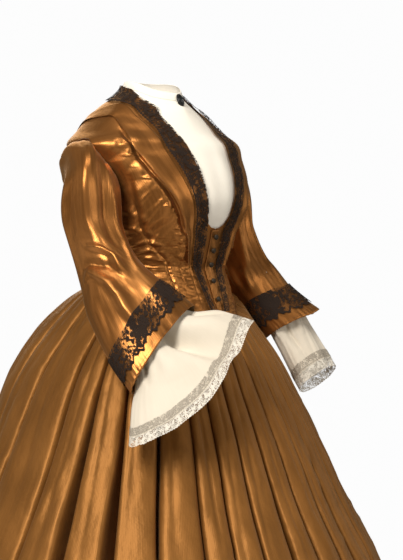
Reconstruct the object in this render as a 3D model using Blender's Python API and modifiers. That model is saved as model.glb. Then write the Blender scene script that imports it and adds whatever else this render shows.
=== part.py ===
"""A silk satin day dress of the 1850s, worn and open inside, in metres with +Z up.

The origin lies midway between the two points where the shoulders meet the neck.
The front faces -Y, and the garment's own left side is +X. The lengths in the tables are millimetres.
"""

import math

import bpy
import numpy as np
from mathutils import Matrix
from mathutils.bvhtree import BVHTree

MM = 0.001
SEAM_GAP = 0.3
SEAM_TRIM = 0.5
SEAM_END_TRIM = 1.0
SATIN = 1.2
LACE = 1.0
MUSLIN = 1.0
LAYER_GAP = 0.9
PANEL_SEARCH = 8.0
SEAM_SEARCH = 0.8
BAND_COLUMNS = 5
LACE_STEPS = 30
BRETELLE_STEPS = 28
CLOSING_STEPS = 9
SETTLE_STEPS = 3
SKIRT_WALL = 1.6

# height, half_width, centre, front, back, front_round, back_round
TORSO = (
    (24, 56, 2, 48, 60, 2.0, 2.0),
    (12, 58.5, 2, 51, 62.5, 1.9, 2.0),
    (0, 62, 0, 54, 67, 1.6, 2.2),
    (-15, 78, 0, 59, 80, 1.42, 2.4),
    (-30, 99, 0, 76, 94, 1.38, 2.6),
    (-52, 127, 0, 90, 106, 1.6, 2.6),
    (-82, 160, 5, 117, 106, 1.85, 2.6),
    (-105, 188, 8, 146, 104, 1.85, 2.5),
    (-133, 177, 0, 153, 112, 1.9, 2.4),
    (-163, 168, -10, 156, 118, 2.0, 2.3),
    (-190, 160, -22, 151, 122, 2.0, 2.2),
    (-215, 152, -32, 142, 122, 2.0, 2.2),
    (-241, 145, -37, 130, 118, 2.0, 2.1),
    (-264, 139, -39, 117, 112, 2.0, 2.1),
    (-287, 131, -40, 110, 103, 2.0, 2.1),
    (-317, 120, -40, 102, 91, 2.0, 2.1),
    (-338, 115, -40, 97, 85, 2.0, 2.1),
    (-365, 121, -40, 106, 91, 2.0, 2.1),
    (-405, 127, -40, 121, 112, 2.0, 2.0),
    (-440, 145, -40, 134, 128, 2.0, 2.0),
)

# angle, height
NECK_EDGE = ((76, -10), (90, 0), (120, 7), (150, 11), (180, 12))
# height, distance from the middle
V_EDGE = (
    (-36, 56), (-50, 61), (-82, 56), (-108, 53.5), (-133, 50), (-163, 45.5),
    (-207, 38.5), (-241, 30),
)
V_CURVE = ((-241, 30), (-256, 22), (-263, 11), (-264, 0.3))
CENTRE_LINE = ((-264, 0.3), (-330, 0.3), (-380, 0.3), (-430, 0.3))
SHOULDER_SEAM = ((-55, 103), (-93, 150))
# turn round the armhole, angle, height
ARMHOLE = (
    (-180, 120, -170), (-135, 113, -220), (-90, 97, -236), (-45, 81, -214), (0, 75.5, -168),
    (45, 79.5, -134), (80, 83, -103), (100, 92, -101), (135, 107, -120), (180, 120, -170),
    (225, 113, -220), (270, 97, -236),
)
SHOULDER_TURN, FRONT_TURN, BACK_TURN = 80, -14, 228
SIDE_FRONT_SEAM = ((-222, 141), (-262, 129), (-293, 113), (-331, 80), (-360, 74))
SIDE_FRONT_END = 40
SIDE_BACK_SEAM = ((120, -290),)
SIDE_BACK_END = 122
SEAM_ROWS = 7
V_ROWS = 9
V_CURVE_ROWS = 4
CENTRE_ROWS = 6
ARMHOLE_SAMPLES = 12
BACK_ARMHOLE_ROWS = 7
NECK_COLUMNS = 6
FRONT_COLUMNS = 7
LOWER_EDGE = (
    (0, -430), (20, -427), (42, -411), (60, -388), (75, -372), (90, -365), (120, -360), (180, -357),
)

# inner angle, inner height, outer angle, outer height
LACE_NECK = ((180, 12, 180, -20), (150, 11, 152, -20), (120, 7, 122, -23), (92, 0, 93, -27))
# height, inner distance, outer distance
LACE_FRONT = (
    (-36, 56, 92), (-50, 61, 95), (-82, 56, 92), (-131, 50, 91), (-175, 43, 77), (-203, 39, 68),
    (-230, 33, 60), (-268, 22, 50), (-310, 20, 44), (-335, 19, 39), (-370, 17, 34), (-405, 13, 29),
    (-420, 10, 25),
)
BRETELLE_BACK = (
    (-345, 18, 36), (-300, 27, 48), (-240, 40, 70), (-170, 56, 98), (-110, 72, 126), (-66, 86, 126),
)
BRETELLE_RIDGE = ((90, -30, 90, -63),)
BRETELLE_FRONT = (
    (-58, 100, 133), (-94, 98, 143), (-125, 96, 140), (-164, 84, 123), (-205, 69, 100), (-237, 60, 83),
    (-275, 50.5, 64), (-305, 46.5, 56), (-332, 41.5, 50),
)

CHEMISETTE_ANGLES = (0, 6, 12, 18, 24, 31, 39, 50, 68, 90, 115, 145)
CHEMISETTE_OUTER = (
    (0, -290), (14, -286), (22, -255), (28, -205), (37, -140), (52, -90), (68, -54), (90, -28),
    (120, -20), (180, -16),
)
CHEMISETTE_ROWS = 9
CHEMISETTE_UNDER = 3.0
COLLAR_SEAM = ((0, -20), (40, -14), (90, 0), (140, 3), (180, 4))
COLLAR_HEIGHT = 15.5
COLLAR_LEAN = 4

# under_x, under_y, under_z, upper_x, upper_y, upper_z, half_width
RIGHT_SLEEVE = (
    (-242, 3, -256, -170, -77, -256, 50), (-241, -16, -298, -169, -96, -296, 50),
    (-244, -37, -337, -166, -124, -330, 50), (-252, -58, -376, -156, -159, -361, 52),
    (-265, -82, -419, -145, -188, -381, 50), (-272, -116, -464, -138, -206, -394, 50),
    (-274, -153, -510, -133, -215, -402, 48), (-272, -198, -558, -130, -222, -408, 44),
)
LEFT_SLEEVE = (
    (197, 41, -256, 197, -63, -253, 45), (201, 28, -302, 201, -76, -288, 46),
    (204, 12, -350, 206, -92, -318, 48), (214, -14, -396, 212, -110, -342, 52),
    (238, -46, -444, 228, -128, -374, 55), (262, -66, -470, 246, -156, -404, 58),
)
RIGHT_UNDERSLEEVE = (
    (-226, -136, -432, -187, -151, -376, 30), (-238, -167, -480, -161, -189, -397, 30),
    (-253, -194, -536, -138, -220, -416, 28), (-275, -202, -584, -104, -254, -412, 38),
    (-298, -214, -625, -78, -287, -421, 50),
)
LEFT_UNDERSLEEVE = (
    (232, -62, -416, 224, -106, -376, 34), (252, -82, -456, 244, -134, -408, 42),
    (268, -108, -506, 256, -156, -454, 44), (284, -136, -562, 268, -192, -516, 46),
)
# turn, how far the hem falls below the last ring
LEFT_SLEEVE_FALL = ((0, 36), (45, 40), (90, 26), (135, 8), (180, 0), (270, 0), (315, 14), (360, 36))
RIGHT_UNDERSLEEVE_FALL = (
    (0, 8), (30, 20), (60, 48), (90, 70), (120, 60), (150, 34), (180, 12), (220, 0), (330, 0), (360, 8),
)
LEVEL_FALL = ((0, 0), (360, 0))
FALL_ABOVE_HEM = 0.3
TUBE_COLUMNS = 20
CAP_ROWS = 4
# turn, fullness
CAP_FULLNESS = ((0, 1.1), (80, 1.25), (140, 1.5), (200, 1.3), (260, 1.1), (360, 1.1))
CAP_GAP = 2.0
CUFF_GAP = 1.9
CUFF_LACE_START = 16
CUFF_LACE_WIDTH = 62
CUFF_SCALLOPS = 14
SCALLOP_SHAPE = (1.0, 0.25, 0.25)
SCALLOP_DEPTH = 9
UNDERSLEEVE_SEAT = 3
UNDERSLEEVE_GAP = 0.5
EDGING_GAP = 0.6
EDGING_WIDTH = 20

SKIRT_CENTRE = -40
# height, half_width, front, back
SKIRT = (
    (-357, 118, 104, 90), (-366, 127, 108, 130), (-376, 136, 112, 172), (-392, 147, 118, 210),
    (-412, 157, 128, 244), (-440, 174, 145, 280), (-465, 190, 162, 306), (-510, 222, 190, 337),
    (-560, 250, 215, 364), (-650, 292, 260, 390), (-773, 350, 315, 425), (-893, 408, 378, 462),
    (-1150, 505, 480, 545), (-1395, 600, 565, 632),
)
SKIRT_SPRING = 12
WAIST_GAP = 0.8
SKIRT_DROPS = (0, 9, 22, 45, 75, 120, 200, 340, 620, 1038)
PLEAT_WIDTHS = (9, 9, 9, 9, 12, 14, 14, 16, 17, 17, 18, 18, 18)
# share of a pleat's width, share of its depth
PLEAT_PROFILE = ((0.0, -1.0), (0.13, 0.35), (0.4, 1.0), (0.68, 0.9), (0.9, 0.3))
# drop, depth
PLEAT_DEPTHS = ((0, 0.0), (22, 2.5), (75, 6.0), (200, 9.0), (620, 13.0), (1038, 17.0))
# name, first pleat, last pleat
BREADTHS = (
    ("skirt_front", -4, 4),
    ("skirt_side_front_left", 4, 8), ("skirt_side_back_left", 8, 11),
    ("skirt_back", 11, 15),
    ("skirt_side_back_right", -11, -8), ("skirt_side_front_right", -8, -4),
)

BUTTON_GAP = 0.8
BUTTON_HEIGHTS = (-279, -304, -330, -364, -398)
BUTTON_SIZE = (4.7, 3.4, 4.7)
COLLAR_BUTTON_SIZE = (8.0, 2.6, 12.0)
COLLAR_BUTTON_PLACE = (0, -66.9, -21)
COLLAR_BUTTON_TILT = 24
CLOSING_WIDTHS = ((-267, 9.5), (-335, 9), (-400, 7), (-424, 4))

SATIN_COLOUR = (0.36, 0.16, 0.04, 1.0)
LACE_COLOUR = (0.02, 0.014, 0.01, 1.0)
CREAM_COLOUR = (0.9, 0.84, 0.72, 1.0)
LACE_ROUGHNESS = 0.7
CREAM_ROUGHNESS = 0.8
BUTTON_COLOUR = (0.05, 0.035, 0.02, 1.0)


def smooth_rows(table, at):
    """All columns of a table after its first, between its rows, on curves that pass through them."""
    rows = np.array(sorted(table), float)
    places, values = rows[:, 0], rows[:, 1:]
    last = len(rows) - 1
    at = min(max(at, places[0]), places[-1])
    i = min(max(int(np.searchsorted(places, at)) - 1, 0), last - 1)
    span = places[i + 1] - places[i]
    share = (at - places[i]) / span

    def slope(k):
        low, high = max(k - 1, 0), min(k + 1, last)
        return (values[high] - values[low]) / (places[high] - places[low])

    start, end = slope(i) * span, slope(i + 1) * span
    rise = values[i + 1] - values[i]
    return (
        values[i] + start * share
        + (3 * rise - 2 * start - end) * share ** 2
        + (start + end - 2 * rise) * share ** 3
    )


def smooth(table, column, at):
    """One column of a table, read as smooth_rows does."""
    return float(smooth_rows(table, at)[column - 1])


def straight(table, column, at):
    """A column of a table between its rows, on straight lines."""
    rows = sorted((row[0], row[column]) for row in table)
    return float(np.interp(at, [row[0] for row in rows], [row[1] for row in rows]))


def ring_point(angle, half_width, centre, front, back, front_round, back_round):
    """A point of an oval ring. The angle is in degrees from the centre front towards the left."""
    turn = math.radians(angle)
    side, ahead = abs(math.sin(turn)), abs(math.cos(turn))
    is_front = math.cos(turn) >= 0
    power = front_round if is_front else back_round
    reach = (side ** power + ahead ** power) ** (-1 / power)
    x = math.copysign(half_width * side * reach, math.sin(turn))
    y = centre - front * ahead * reach if is_front else centre + back * ahead * reach
    return x, y


def torso_point(angle, height):
    x, y = ring_point(angle, *smooth_rows(TORSO, height))
    return np.array((x, y, height))


def torso_normal(angle, height):
    """The way out of the bodice at a place on it."""
    step = 0.5
    around = torso_point(angle + step, height) - torso_point(angle - step, height)
    upward = torso_point(angle, height + step) - torso_point(angle, height - step)
    out = np.cross(around, upward)
    return out / np.linalg.norm(out)


def on_torso(angle, height, out=0.0):
    return torso_point(angle, height) + torso_normal(angle, height) * out


def angle_of(across, height, behind=False):
    """The angle at which the bodice is this far from its middle, at this height."""
    low, high = (90.0, 180.0) if behind else (0.0, 90.0)
    for _ in range(40):
        middle = (low + high) / 2
        wide = torso_point(middle, height)[0] > across
        if wide != behind:
            high = middle
        else:
            low = middle
    return (low + high) / 2


def along(points, count):
    """Points spread evenly along a line through these points, each an angle and a height."""
    places = [torso_point(*point) for point in points]
    steps = [np.linalg.norm(b - a) for a, b in zip(places, places[1:])]
    reach = np.concatenate(([0.0], np.cumsum(steps)))
    wanted = np.linspace(0, reach[-1], count)
    return np.array([
        (np.interp(w, reach, [p[0] for p in points]), np.interp(w, reach, [p[1] for p in points]))
        for w in wanted
    ])


def front_line(rows):
    """The angles and heights of rows that give a height and the distance from the middle."""
    return [(angle_of(across, height), height) for height, across in rows]


def filled(top, bottom, first, last):
    """Angles and heights inside four edges: top and bottom run across, first and last run down."""
    rows, columns = len(first), len(top)
    grid = np.zeros((rows, columns, 2))
    for i in range(rows):
        v = i / (rows - 1)
        for j in range(columns):
            u = j / (columns - 1)
            corners = (
                (1 - u) * (1 - v) * top[0] + u * (1 - v) * top[-1]
                + (1 - u) * v * bottom[0] + u * v * bottom[-1]
            )
            grid[i, j] = (1 - v) * top[j] + v * bottom[j] + (1 - u) * first[i] + u * last[i] - corners
    return grid


def colour_of(name, colour, roughness):
    material = bpy.data.materials.new(name)
    material.use_nodes = True
    shader = material.node_tree.nodes["Principled BSDF"]
    shader.inputs["Base Color"].default_value = colour
    shader.inputs["Roughness"].default_value = roughness
    shader.inputs["Metallic"].default_value = 0.0
    material.diffuse_color = colour
    return material


def trimmed(grid, top=True, bottom=True, first=True, last=True):
    """Draws the edges of a grid of points in by half a seam's gap, and their ends by a little more."""
    grid = np.array(grid, float)
    for wanted, edge, inner in (
        (top, (0, slice(None)), (1, slice(None))), (bottom, (-1, slice(None)), (-2, slice(None))),
        (first, (slice(None), 0), (slice(None), 1)), (last, (slice(None), -1), (slice(None), -2)),
    ):
        if wanted:
            way = grid[inner] - grid[edge]
            trims = np.full((len(way), 1), SEAM_TRIM)
            trims[[0, -1]] = SEAM_END_TRIM
            grid[edge] += way / np.linalg.norm(way, axis=-1, keepdims=True) * trims
    return grid


def away_from_body(point):
    return np.array((point[0], point[1] - SKIRT_CENTRE * MM, 0.0))


def between(grid, i, j, u, v):
    """A place inside a cell of a grid, whose two halves are flat and split from its first corner."""
    first, last = grid[i, j], grid[i + 1, j + 1]
    corner = grid[i + 1, j] if u >= v else grid[i, j + 1]
    near, far = (u, v) if u >= v else (v, u)
    return first * (1 - near) + corner * (near - far) + last * far


class Dress:
    """Collects the pieces, each its own object with its own material."""

    def __init__(self, name):
        self.collection = bpy.data.collections.new(name)
        bpy.context.scene.collection.children.link(self.collection)
        self.panels = []

    def panel(self, name, grid, wall=SATIN):
        """A panel of the bodice. Its facets are kept for what lies on it."""
        piece = self.cloth(name, grid, wall, SATIN_COLOUR)
        points = [vertex.co / MM for vertex in piece.data.vertices]
        faces = [tuple(face.vertices) for face in piece.data.polygons]
        self.panels.append(BVHTree.FromPolygons(points, faces))

    def facet_rise(self, angle, height, way):
        """How far the panels' facets lie out from their plain form, highest and lowest."""
        rises = [0.0]
        for aside in (0, -SEAM_SEARCH, SEAM_SEARCH):
            near = on_torso(angle + aside, height) + way * PANEL_SEARCH
            for tree in self.panels:
                hit = tree.ray_cast(near.tolist(), (-way).tolist(), 2 * PANEL_SEARCH)[3]
                if hit is not None:
                    rises.append(PANEL_SEARCH - hit)
        return max(rises), min(rises)

    def laid(self, grid, out):
        """A grid of angles and heights laid on the panels, or under them where out is negative.

        The points are moved until no place between them is nearer to a facet than they should be.
        """
        grid = np.array(grid, float)
        sign = 1 if out > 0 else -1
        shares = (0.0, 0.5, 1.0)
        places, ways, levels = {}, {}, {}
        for i in range(len(grid) - 1):
            for j in range(grid.shape[1] - 1):
                for u in shares:
                    for v in shares:
                        key = (i + u, j + v)
                        if key in places:
                            continue
                        angle, height = between(grid, i, j, u, v)
                        places[key], ways[key] = torso_point(angle, height), torso_normal(angle, height)
                        high, low = self.facet_rise(angle, height, ways[key])
                        levels[key] = out + (high if sign > 0 else low)
        size = grid.shape[:2]
        points = np.array([
            [places[i, j] + ways[i, j] * levels[i, j] for j in range(size[1])] for i in range(size[0])
        ])
        for _ in range(SETTLE_STEPS):
            moves = np.zeros(size)
            for i in range(size[0] - 1):
                for j in range(size[1] - 1):
                    for u in shares:
                        for v in shares:
                            key = (i + u, j + v)
                            level = np.dot(between(points, i, j, u, v) - places[key], ways[key])
                            short = (levels[key] - level) * sign
                            cell = moves[i:i + 2, j:j + 2]
                            np.maximum(cell, short, out=cell)
            for i in range(size[0]):
                for j in range(size[1]):
                    points[i, j] += ways[i, j] * moves[i, j] * sign
        return points

    def cloth(self, name, grid, wall, colour, roughness=0.4, tube=False):
        """A sheet through a grid of points, thickened inwards. A tube's rows are closed rings."""
        grid = np.array(grid, float) * MM
        rows, columns = grid.shape[:2]
        across = grid[1, 1] - grid[1, 0]
        down = grid[2 if rows > 2 else 1, 0] - grid[0, 0]
        middle = grid[1].mean(axis=0)
        out = grid[1, 0] - middle if tube else away_from_body(grid[1, 0])
        if np.dot(np.cross(down, across), out) < 0:
            grid = grid[:, ::-1]
        faces = []
        for i in range(rows - 1):
            for j in range(columns if tube else columns - 1):
                k = (j + 1) % columns
                faces.append((i * columns + j, (i + 1) * columns + j, (i + 1) * columns + k))
                faces.append((i * columns + j, (i + 1) * columns + k, i * columns + k))
        mesh = bpy.data.meshes.new(name)
        mesh.from_pydata([tuple(point) for row in grid for point in row], [], faces)
        mesh.update()
        mesh.shade_smooth()
        mesh.materials.append(colour_of(name, colour, roughness))
        piece = bpy.data.objects.new(name, mesh)
        self.collection.objects.link(piece)
        shell = piece.modifiers.new("Wall", "SOLIDIFY")
        shell.thickness = wall * MM
        shell.offset = -1
        shell.use_quality_normals = True
        return piece

    def button(self, name, place, sizes, tilt, colour, roughness=0.3):
        """An oval button: a ball with three half sizes, turned about the X axis to lie on the cloth."""
        bpy.ops.mesh.primitive_uv_sphere_add(segments=10, ring_count=6, radius=1.0)
        piece = bpy.context.object
        piece.name = name
        for holder in list(piece.users_collection):
            holder.objects.unlink(piece)
        self.collection.objects.link(piece)
        piece.data.transform(Matrix.Diagonal((*(size * MM for size in sizes), 1.0)))
        piece.location = [value * MM for value in place]
        piece.rotation_euler = (math.radians(tilt), 0, 0)
        piece.data.materials.append(colour_of(name, colour, roughness))
        piece.data.shade_smooth()
        return piece


def armhole(turn):
    """A place on the armhole. The turn is 0 at the front, 90 at the shoulder and -90 under the arm."""
    return smooth(ARMHOLE, 1, turn), smooth(ARMHOLE, 2, turn)


def lower_height(angle):
    """The height of the bodice's lower edge, which dips to a rounded point in front."""
    turn = abs((angle + 180) % 360 - 180)
    return smooth(LOWER_EDGE, 1, turn)


def lower_line(start, end, count):
    return np.array([(angle, lower_height(angle)) for angle in np.linspace(start, end, count)])


def shoulder_line():
    return [NECK_EDGE[0]] + front_line(SHOULDER_SEAM) + [armhole(SHOULDER_TURN)]


def side_front_line():
    seam = front_line(SIDE_FRONT_SEAM)
    return seam + [(SIDE_FRONT_END, lower_height(SIDE_FRONT_END))]


def side_back_line():
    return list(SIDE_BACK_SEAM) + [(SIDE_BACK_END, lower_height(SIDE_BACK_END))]


def mirrored(grid, side):
    """The same angles on the left (side 1) or right (side -1)."""
    grid = np.array(grid, float)
    grid[..., 0] *= side
    return grid


def lifted(grid, out=0.0):
    """The points of a grid of angles and heights, this far out from the bodice's own surface."""
    return np.array([[on_torso(angle, height, out) for angle, height in row] for row in grid])


def side_front_points():
    return along([armhole(FRONT_TURN)] + side_front_line(), SEAM_ROWS)


def side_back_points():
    return along([armhole(BACK_TURN)] + side_back_line(), SEAM_ROWS)


def build_bodice(dress):
    v_part = along([NECK_EDGE[0]] + front_line(V_EDGE), V_ROWS)
    curve_part = along(front_line(V_CURVE), V_CURVE_ROWS)[1:]
    centre_part = along(front_line(CENTRE_LINE), CENTRE_ROWS)[1:]
    inner = np.concatenate((v_part, curve_part, centre_part))
    side_front, side_back = side_front_points(), side_back_points()
    armhole_rows = len(inner) - SEAM_ROWS + 1
    turns = np.linspace(SHOULDER_TURN, FRONT_TURN, ARMHOLE_SAMPLES)
    armhole_part = along([armhole(turn) for turn in turns], armhole_rows)
    outer = np.concatenate((armhole_part, side_front[1:]))
    columns = FRONT_COLUMNS
    shoulder = along(shoulder_line(), columns)
    front = filled(shoulder, lower_line(inner[-1][0], SIDE_FRONT_END, columns), inner, outer)
    turns = np.linspace(FRONT_TURN, BACK_TURN - 360, ARMHOLE_SAMPLES)
    under = along([armhole(turn) for turn in turns], columns)
    flank = filled(under, lower_line(SIDE_FRONT_END, SIDE_BACK_END, columns), side_front, side_back)
    for side, word in ((1, "left"), (-1, "right")):
        dress.panel(f"bodice_front_{word}", trimmed(lifted(mirrored(front, side)), first=False))
        dress.panel(f"bodice_side_{word}", trimmed(lifted(mirrored(flank, side))))
    build_back(dress, shoulder, side_back)


def build_back(dress, shoulder, side_back):
    """The back, which comes over both shoulders to the seams in front of them."""
    neck = along(NECK_EDGE, NECK_COLUMNS)
    neck = np.insert(neck, 1, (neck[0] + neck[1]) / 2, axis=0)
    top = np.concatenate((neck, [(360 - angle, height) for angle, height in neck[-2::-1]]))
    turns = np.linspace(SHOULDER_TURN, BACK_TURN, ARMHOLE_SAMPLES)
    armhole_part = along([armhole(turn) for turn in turns], BACK_ARMHOLE_ROWS)
    left = np.concatenate((shoulder, armhole_part[1:], side_back[1:]))
    right = np.array([(360 - angle, height) for angle, height in left])
    bottom = lower_line(SIDE_BACK_END, 360 - SIDE_BACK_END, len(top))
    dress.panel("bodice_back", trimmed(lifted(filled(top, bottom, left, right))))


def strip(rows, steps):
    """A smooth band through rows of an inner angle and height and an outer angle and height."""
    places = [(index, *row) for index, row in enumerate(rows)]
    stops = np.linspace(0, len(rows) - 1, steps)
    grid = []
    for stop in stops:
        inner = np.array((smooth(places, 1, stop), smooth(places, 2, stop)))
        outer = np.array((smooth(places, 3, stop), smooth(places, 4, stop)))
        grid.append([inner + (outer - inner) * share for share in np.linspace(0, 1, BAND_COLUMNS)])
    return grid


def band_rows(rows, behind=False):
    """Rows of a height and two distances from the middle, as two angles with that height."""
    return [
        (angle_of(inner, height, behind), height, angle_of(outer, height, behind), height)
        for height, inner, outer in rows
    ]


def build_bands(dress):
    lace = strip(list(LACE_NECK) + band_rows(LACE_FRONT), LACE_STEPS)
    bretelle = strip(
        band_rows(BRETELLE_BACK, behind=True) + list(BRETELLE_RIDGE) + band_rows(BRETELLE_FRONT),
        BRETELLE_STEPS,
    )
    closing = []
    for height in np.linspace(CLOSING_WIDTHS[0][0], CLOSING_WIDTHS[-1][0], CLOSING_STEPS):
        edge = angle_of(straight(CLOSING_WIDTHS, 1, height), height)
        closing.append([(-edge, height), (0, height), (edge, height)])
    for side, word in ((1, "left"), (-1, "right")):
        points = trimmed(
            dress.laid(mirrored(lace, side), LAYER_GAP + LACE), bottom=False, first=False, last=False
        )
        dress.cloth(f"lace_front_{word}", points, LACE, LACE_COLOUR, LACE_ROUGHNESS)
        points = dress.laid(mirrored(bretelle, side), LAYER_GAP + SATIN)
        dress.cloth(f"bretelle_{word}", points, SATIN, SATIN_COLOUR)
    dress.panel("front_closing", dress.laid(closing, LAYER_GAP + LACE), LACE)
    for number, height in enumerate(BUTTON_HEIGHTS, 1):
        way = torso_normal(0, height)
        high, _ = dress.facet_rise(0, height, way)
        place = torso_point(0, height) + way * (high + BUTTON_GAP + BUTTON_SIZE[1])
        tilt = math.degrees(math.atan2(-way[2], -way[1]))
        dress.button(f"front_button_{number}", place, BUTTON_SIZE, tilt, BUTTON_COLOUR)


def build_chemisette(dress):
    angles = [-angle for angle in CHEMISETTE_ANGLES[:0:-1]] + list(CHEMISETTE_ANGLES) + [180]
    top = np.array([(angle, smooth(COLLAR_SEAM, 1, abs(angle))) for angle in angles])
    bottom = np.array([(angle, smooth(CHEMISETTE_OUTER, 1, abs(angle))) for angle in angles])
    grid = [(1 - share) * top + share * bottom for share in np.linspace(0, 1, CHEMISETTE_ROWS)]
    points = dress.laid(grid, -CHEMISETTE_UNDER)
    dress.cloth("chemisette", points, MUSLIN, CREAM_COLOUR, CREAM_ROUGHNESS, tube=True)
    seam = points[0] + (0, 0, SEAM_GAP)
    inward = -seam * (1, 1, 0)
    inward /= np.linalg.norm(inward, axis=1, keepdims=True)
    collar = [seam + inward * COLLAR_LEAN * share + (0, 0, COLLAR_HEIGHT * share) for share in (0, 0.5, 1)]
    dress.cloth("collar", collar, MUSLIN, CREAM_COLOUR, CREAM_ROUGHNESS, tube=True)
    dress.button(
        "collar_button", COLLAR_BUTTON_PLACE, COLLAR_BUTTON_SIZE, -COLLAR_BUTTON_TILT, BUTTON_COLOUR
    )


def arm_rings(rows, columns):
    """Rings round an arm. Turn 0 is at the upper point, 90 away from the body, 180 at the under point."""
    unders = [np.array(row[0:3], float) for row in rows]
    uppers = [np.array(row[3:6], float) for row in rows]
    centres = [(under + upper) / 2 for under, upper in zip(unders, uppers)]
    rings = []
    for i, row in enumerate(rows):
        axis = centres[min(i + 1, len(rows) - 1)] - centres[max(i - 1, 0)]
        fore = (uppers[i] - unders[i]) / 2
        side = np.cross(axis, fore)
        side *= row[6] / np.linalg.norm(side) * math.copysign(1, side[0] * centres[i][0])
        turns = np.arange(columns) * 2 * math.pi / columns
        rings.append([centres[i] + fore * math.cos(turn) + side * math.sin(turn) for turn in turns])
    return np.array(rings)


def fallen(rings, fall):
    """Rings whose hem falls further along the arm by a distance for each turn."""
    way = (rings[-1] - rings[-2]).mean(axis=0)
    way /= np.linalg.norm(way)
    for j in range(TUBE_COLUMNS):
        drop = way * smooth(fall, 1, 360 * j / TUBE_COLUMNS)
        rings[-1, j] += drop
        rings[-2, j] += drop * FALL_ABOVE_HEM
    return rings


def sleeve_grid(rows, fall, side):
    """A sleeve from the armhole down, with a rounded cap that springs from the armhole's edge."""
    rings = fallen(arm_rings(rows, TUBE_COLUMNS), fall)
    cap = np.zeros((CAP_ROWS, TUBE_COLUMNS, 3))
    for j in range(TUBE_COLUMNS):
        turn = 360 * j / TUBE_COLUMNS
        angle, height = armhole(turn if turn <= 225 else turn - 360)
        start = on_torso(angle * side, height, SEAM_GAP)
        end = rings[0, j]
        fullness = smooth(CAP_FULLNESS, 1, turn)
        knee = start + (end - start) * (fullness, fullness, 0.15)
        way = knee - start
        start = start + way / np.linalg.norm(way) * CAP_GAP
        for i in range(CAP_ROWS):
            share = i / CAP_ROWS
            cap[i, j] = (1 - share) ** 2 * start + 2 * share * (1 - share) * knee + share ** 2 * end
    return np.concatenate((cap, rings))


def grown(grid, out):
    """A tube's points moved out along its own normals."""
    around = np.roll(grid, -1, axis=1) - np.roll(grid, 1, axis=1)
    down = np.gradient(grid, axis=0)
    way = np.cross(down, around)
    way /= np.linalg.norm(way, axis=-1, keepdims=True)
    if np.sum(way * (grid - grid.mean(axis=1, keepdims=True))) < 0:
        way = -way
    return grid + way * out


def cuff_band(grid, columns, near, far):
    """A band round a tube, between two lists of distances up from its hem, one for each column."""
    band = np.zeros((3, columns, 3))
    for j in range(columns):
        place = j * grid.shape[1] / columns
        low, share = int(place), place % 1
        line = (1 - share) * grid[:, low] + share * grid[:, (low + 1) % grid.shape[1]]
        line = line[::-1]
        reach = np.concatenate(([0.0], np.cumsum(np.linalg.norm(np.diff(line, axis=0), axis=1))))
        for i, distance in enumerate(np.linspace(far[j], near[j], 3)):
            band[i, j] = [np.interp(distance, reach, line[:, axis]) for axis in range(3)]
    return band


def build_sleeves(dress):
    columns = CUFF_SCALLOPS * len(SCALLOP_SHAPE)
    near = [CUFF_LACE_START + SCALLOP_DEPTH * SCALLOP_SHAPE[j % len(SCALLOP_SHAPE)] for j in range(columns)]
    far = [CUFF_LACE_START + CUFF_LACE_WIDTH] * columns
    for side, word, sleeve_rows, fall, under_rows, under_fall in (
        (1, "left", LEFT_SLEEVE, LEFT_SLEEVE_FALL, LEFT_UNDERSLEEVE, LEVEL_FALL),
        (-1, "right", RIGHT_SLEEVE, LEVEL_FALL, RIGHT_UNDERSLEEVE, RIGHT_UNDERSLEEVE_FALL),
    ):
        sleeve = sleeve_grid(sleeve_rows, fall, side)
        dress.cloth(f"sleeve_{word}", sleeve, SATIN, SATIN_COLOUR, tube=True)
        lace = cuff_band(grown(sleeve, CUFF_GAP + LACE), columns, near, far)
        dress.cloth(f"lace_cuff_{word}", lace, LACE, LACE_COLOUR, LACE_ROUGHNESS, tube=True)
        seat = grown(sleeve, -SATIN - UNDERSLEEVE_GAP)[CAP_ROWS + UNDERSLEEVE_SEAT]
        under = np.concatenate(([seat], fallen(arm_rings(under_rows, TUBE_COLUMNS), under_fall)))
        dress.cloth(f"undersleeve_{word}", under, MUSLIN, CREAM_COLOUR, CREAM_ROUGHNESS, tube=True)
        way = under[-1] - under[-2]
        way /= np.linalg.norm(way, axis=-1, keepdims=True)
        edging = [under[-1] + way * distance for distance in (EDGING_GAP, EDGING_WIDTH)]
        dress.cloth(f"lace_edging_{word}", edging, MUSLIN, CREAM_COLOUR, CREAM_ROUGHNESS, tube=True)


def skirt_point(angle, drop):
    """A place on the skirt's plain form, this far below the waist seam's highest level."""
    seam = lower_height(angle) - WAIST_GAP
    full_drop = SKIRT[0][0] - SKIRT[-1][0]
    height = seam - drop * (seam - SKIRT[-1][0]) / full_drop
    start = torso_point(angle, seam)
    half_width, front, back = smooth_rows(SKIRT, height)
    x, y = ring_point(angle, half_width, SKIRT_CENTRE, front, back, 2.0, 2.0)
    share = min(1.0, drop / SKIRT_SPRING)
    return np.array((start[0] + (x - start[0]) * share, start[1] + (y - start[1]) * share, height))


def skirt_normal(angle, drop):
    around = skirt_point(angle + 1, drop) - skirt_point(angle - 1, drop)
    down = skirt_point(angle, drop + 4) - skirt_point(angle, max(drop - 4, 0))
    out = np.cross(around, -down)
    return out / np.linalg.norm(out)


def pleat_edge(number):
    """The angle of a pleat's groove, counted from the centre front. Past 13 it is on the right."""
    half = len(PLEAT_WIDTHS)
    if number > half:
        return 360 - pleat_edge(2 * half - number)
    return math.copysign(sum(PLEAT_WIDTHS[:abs(number)]), number)


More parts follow.
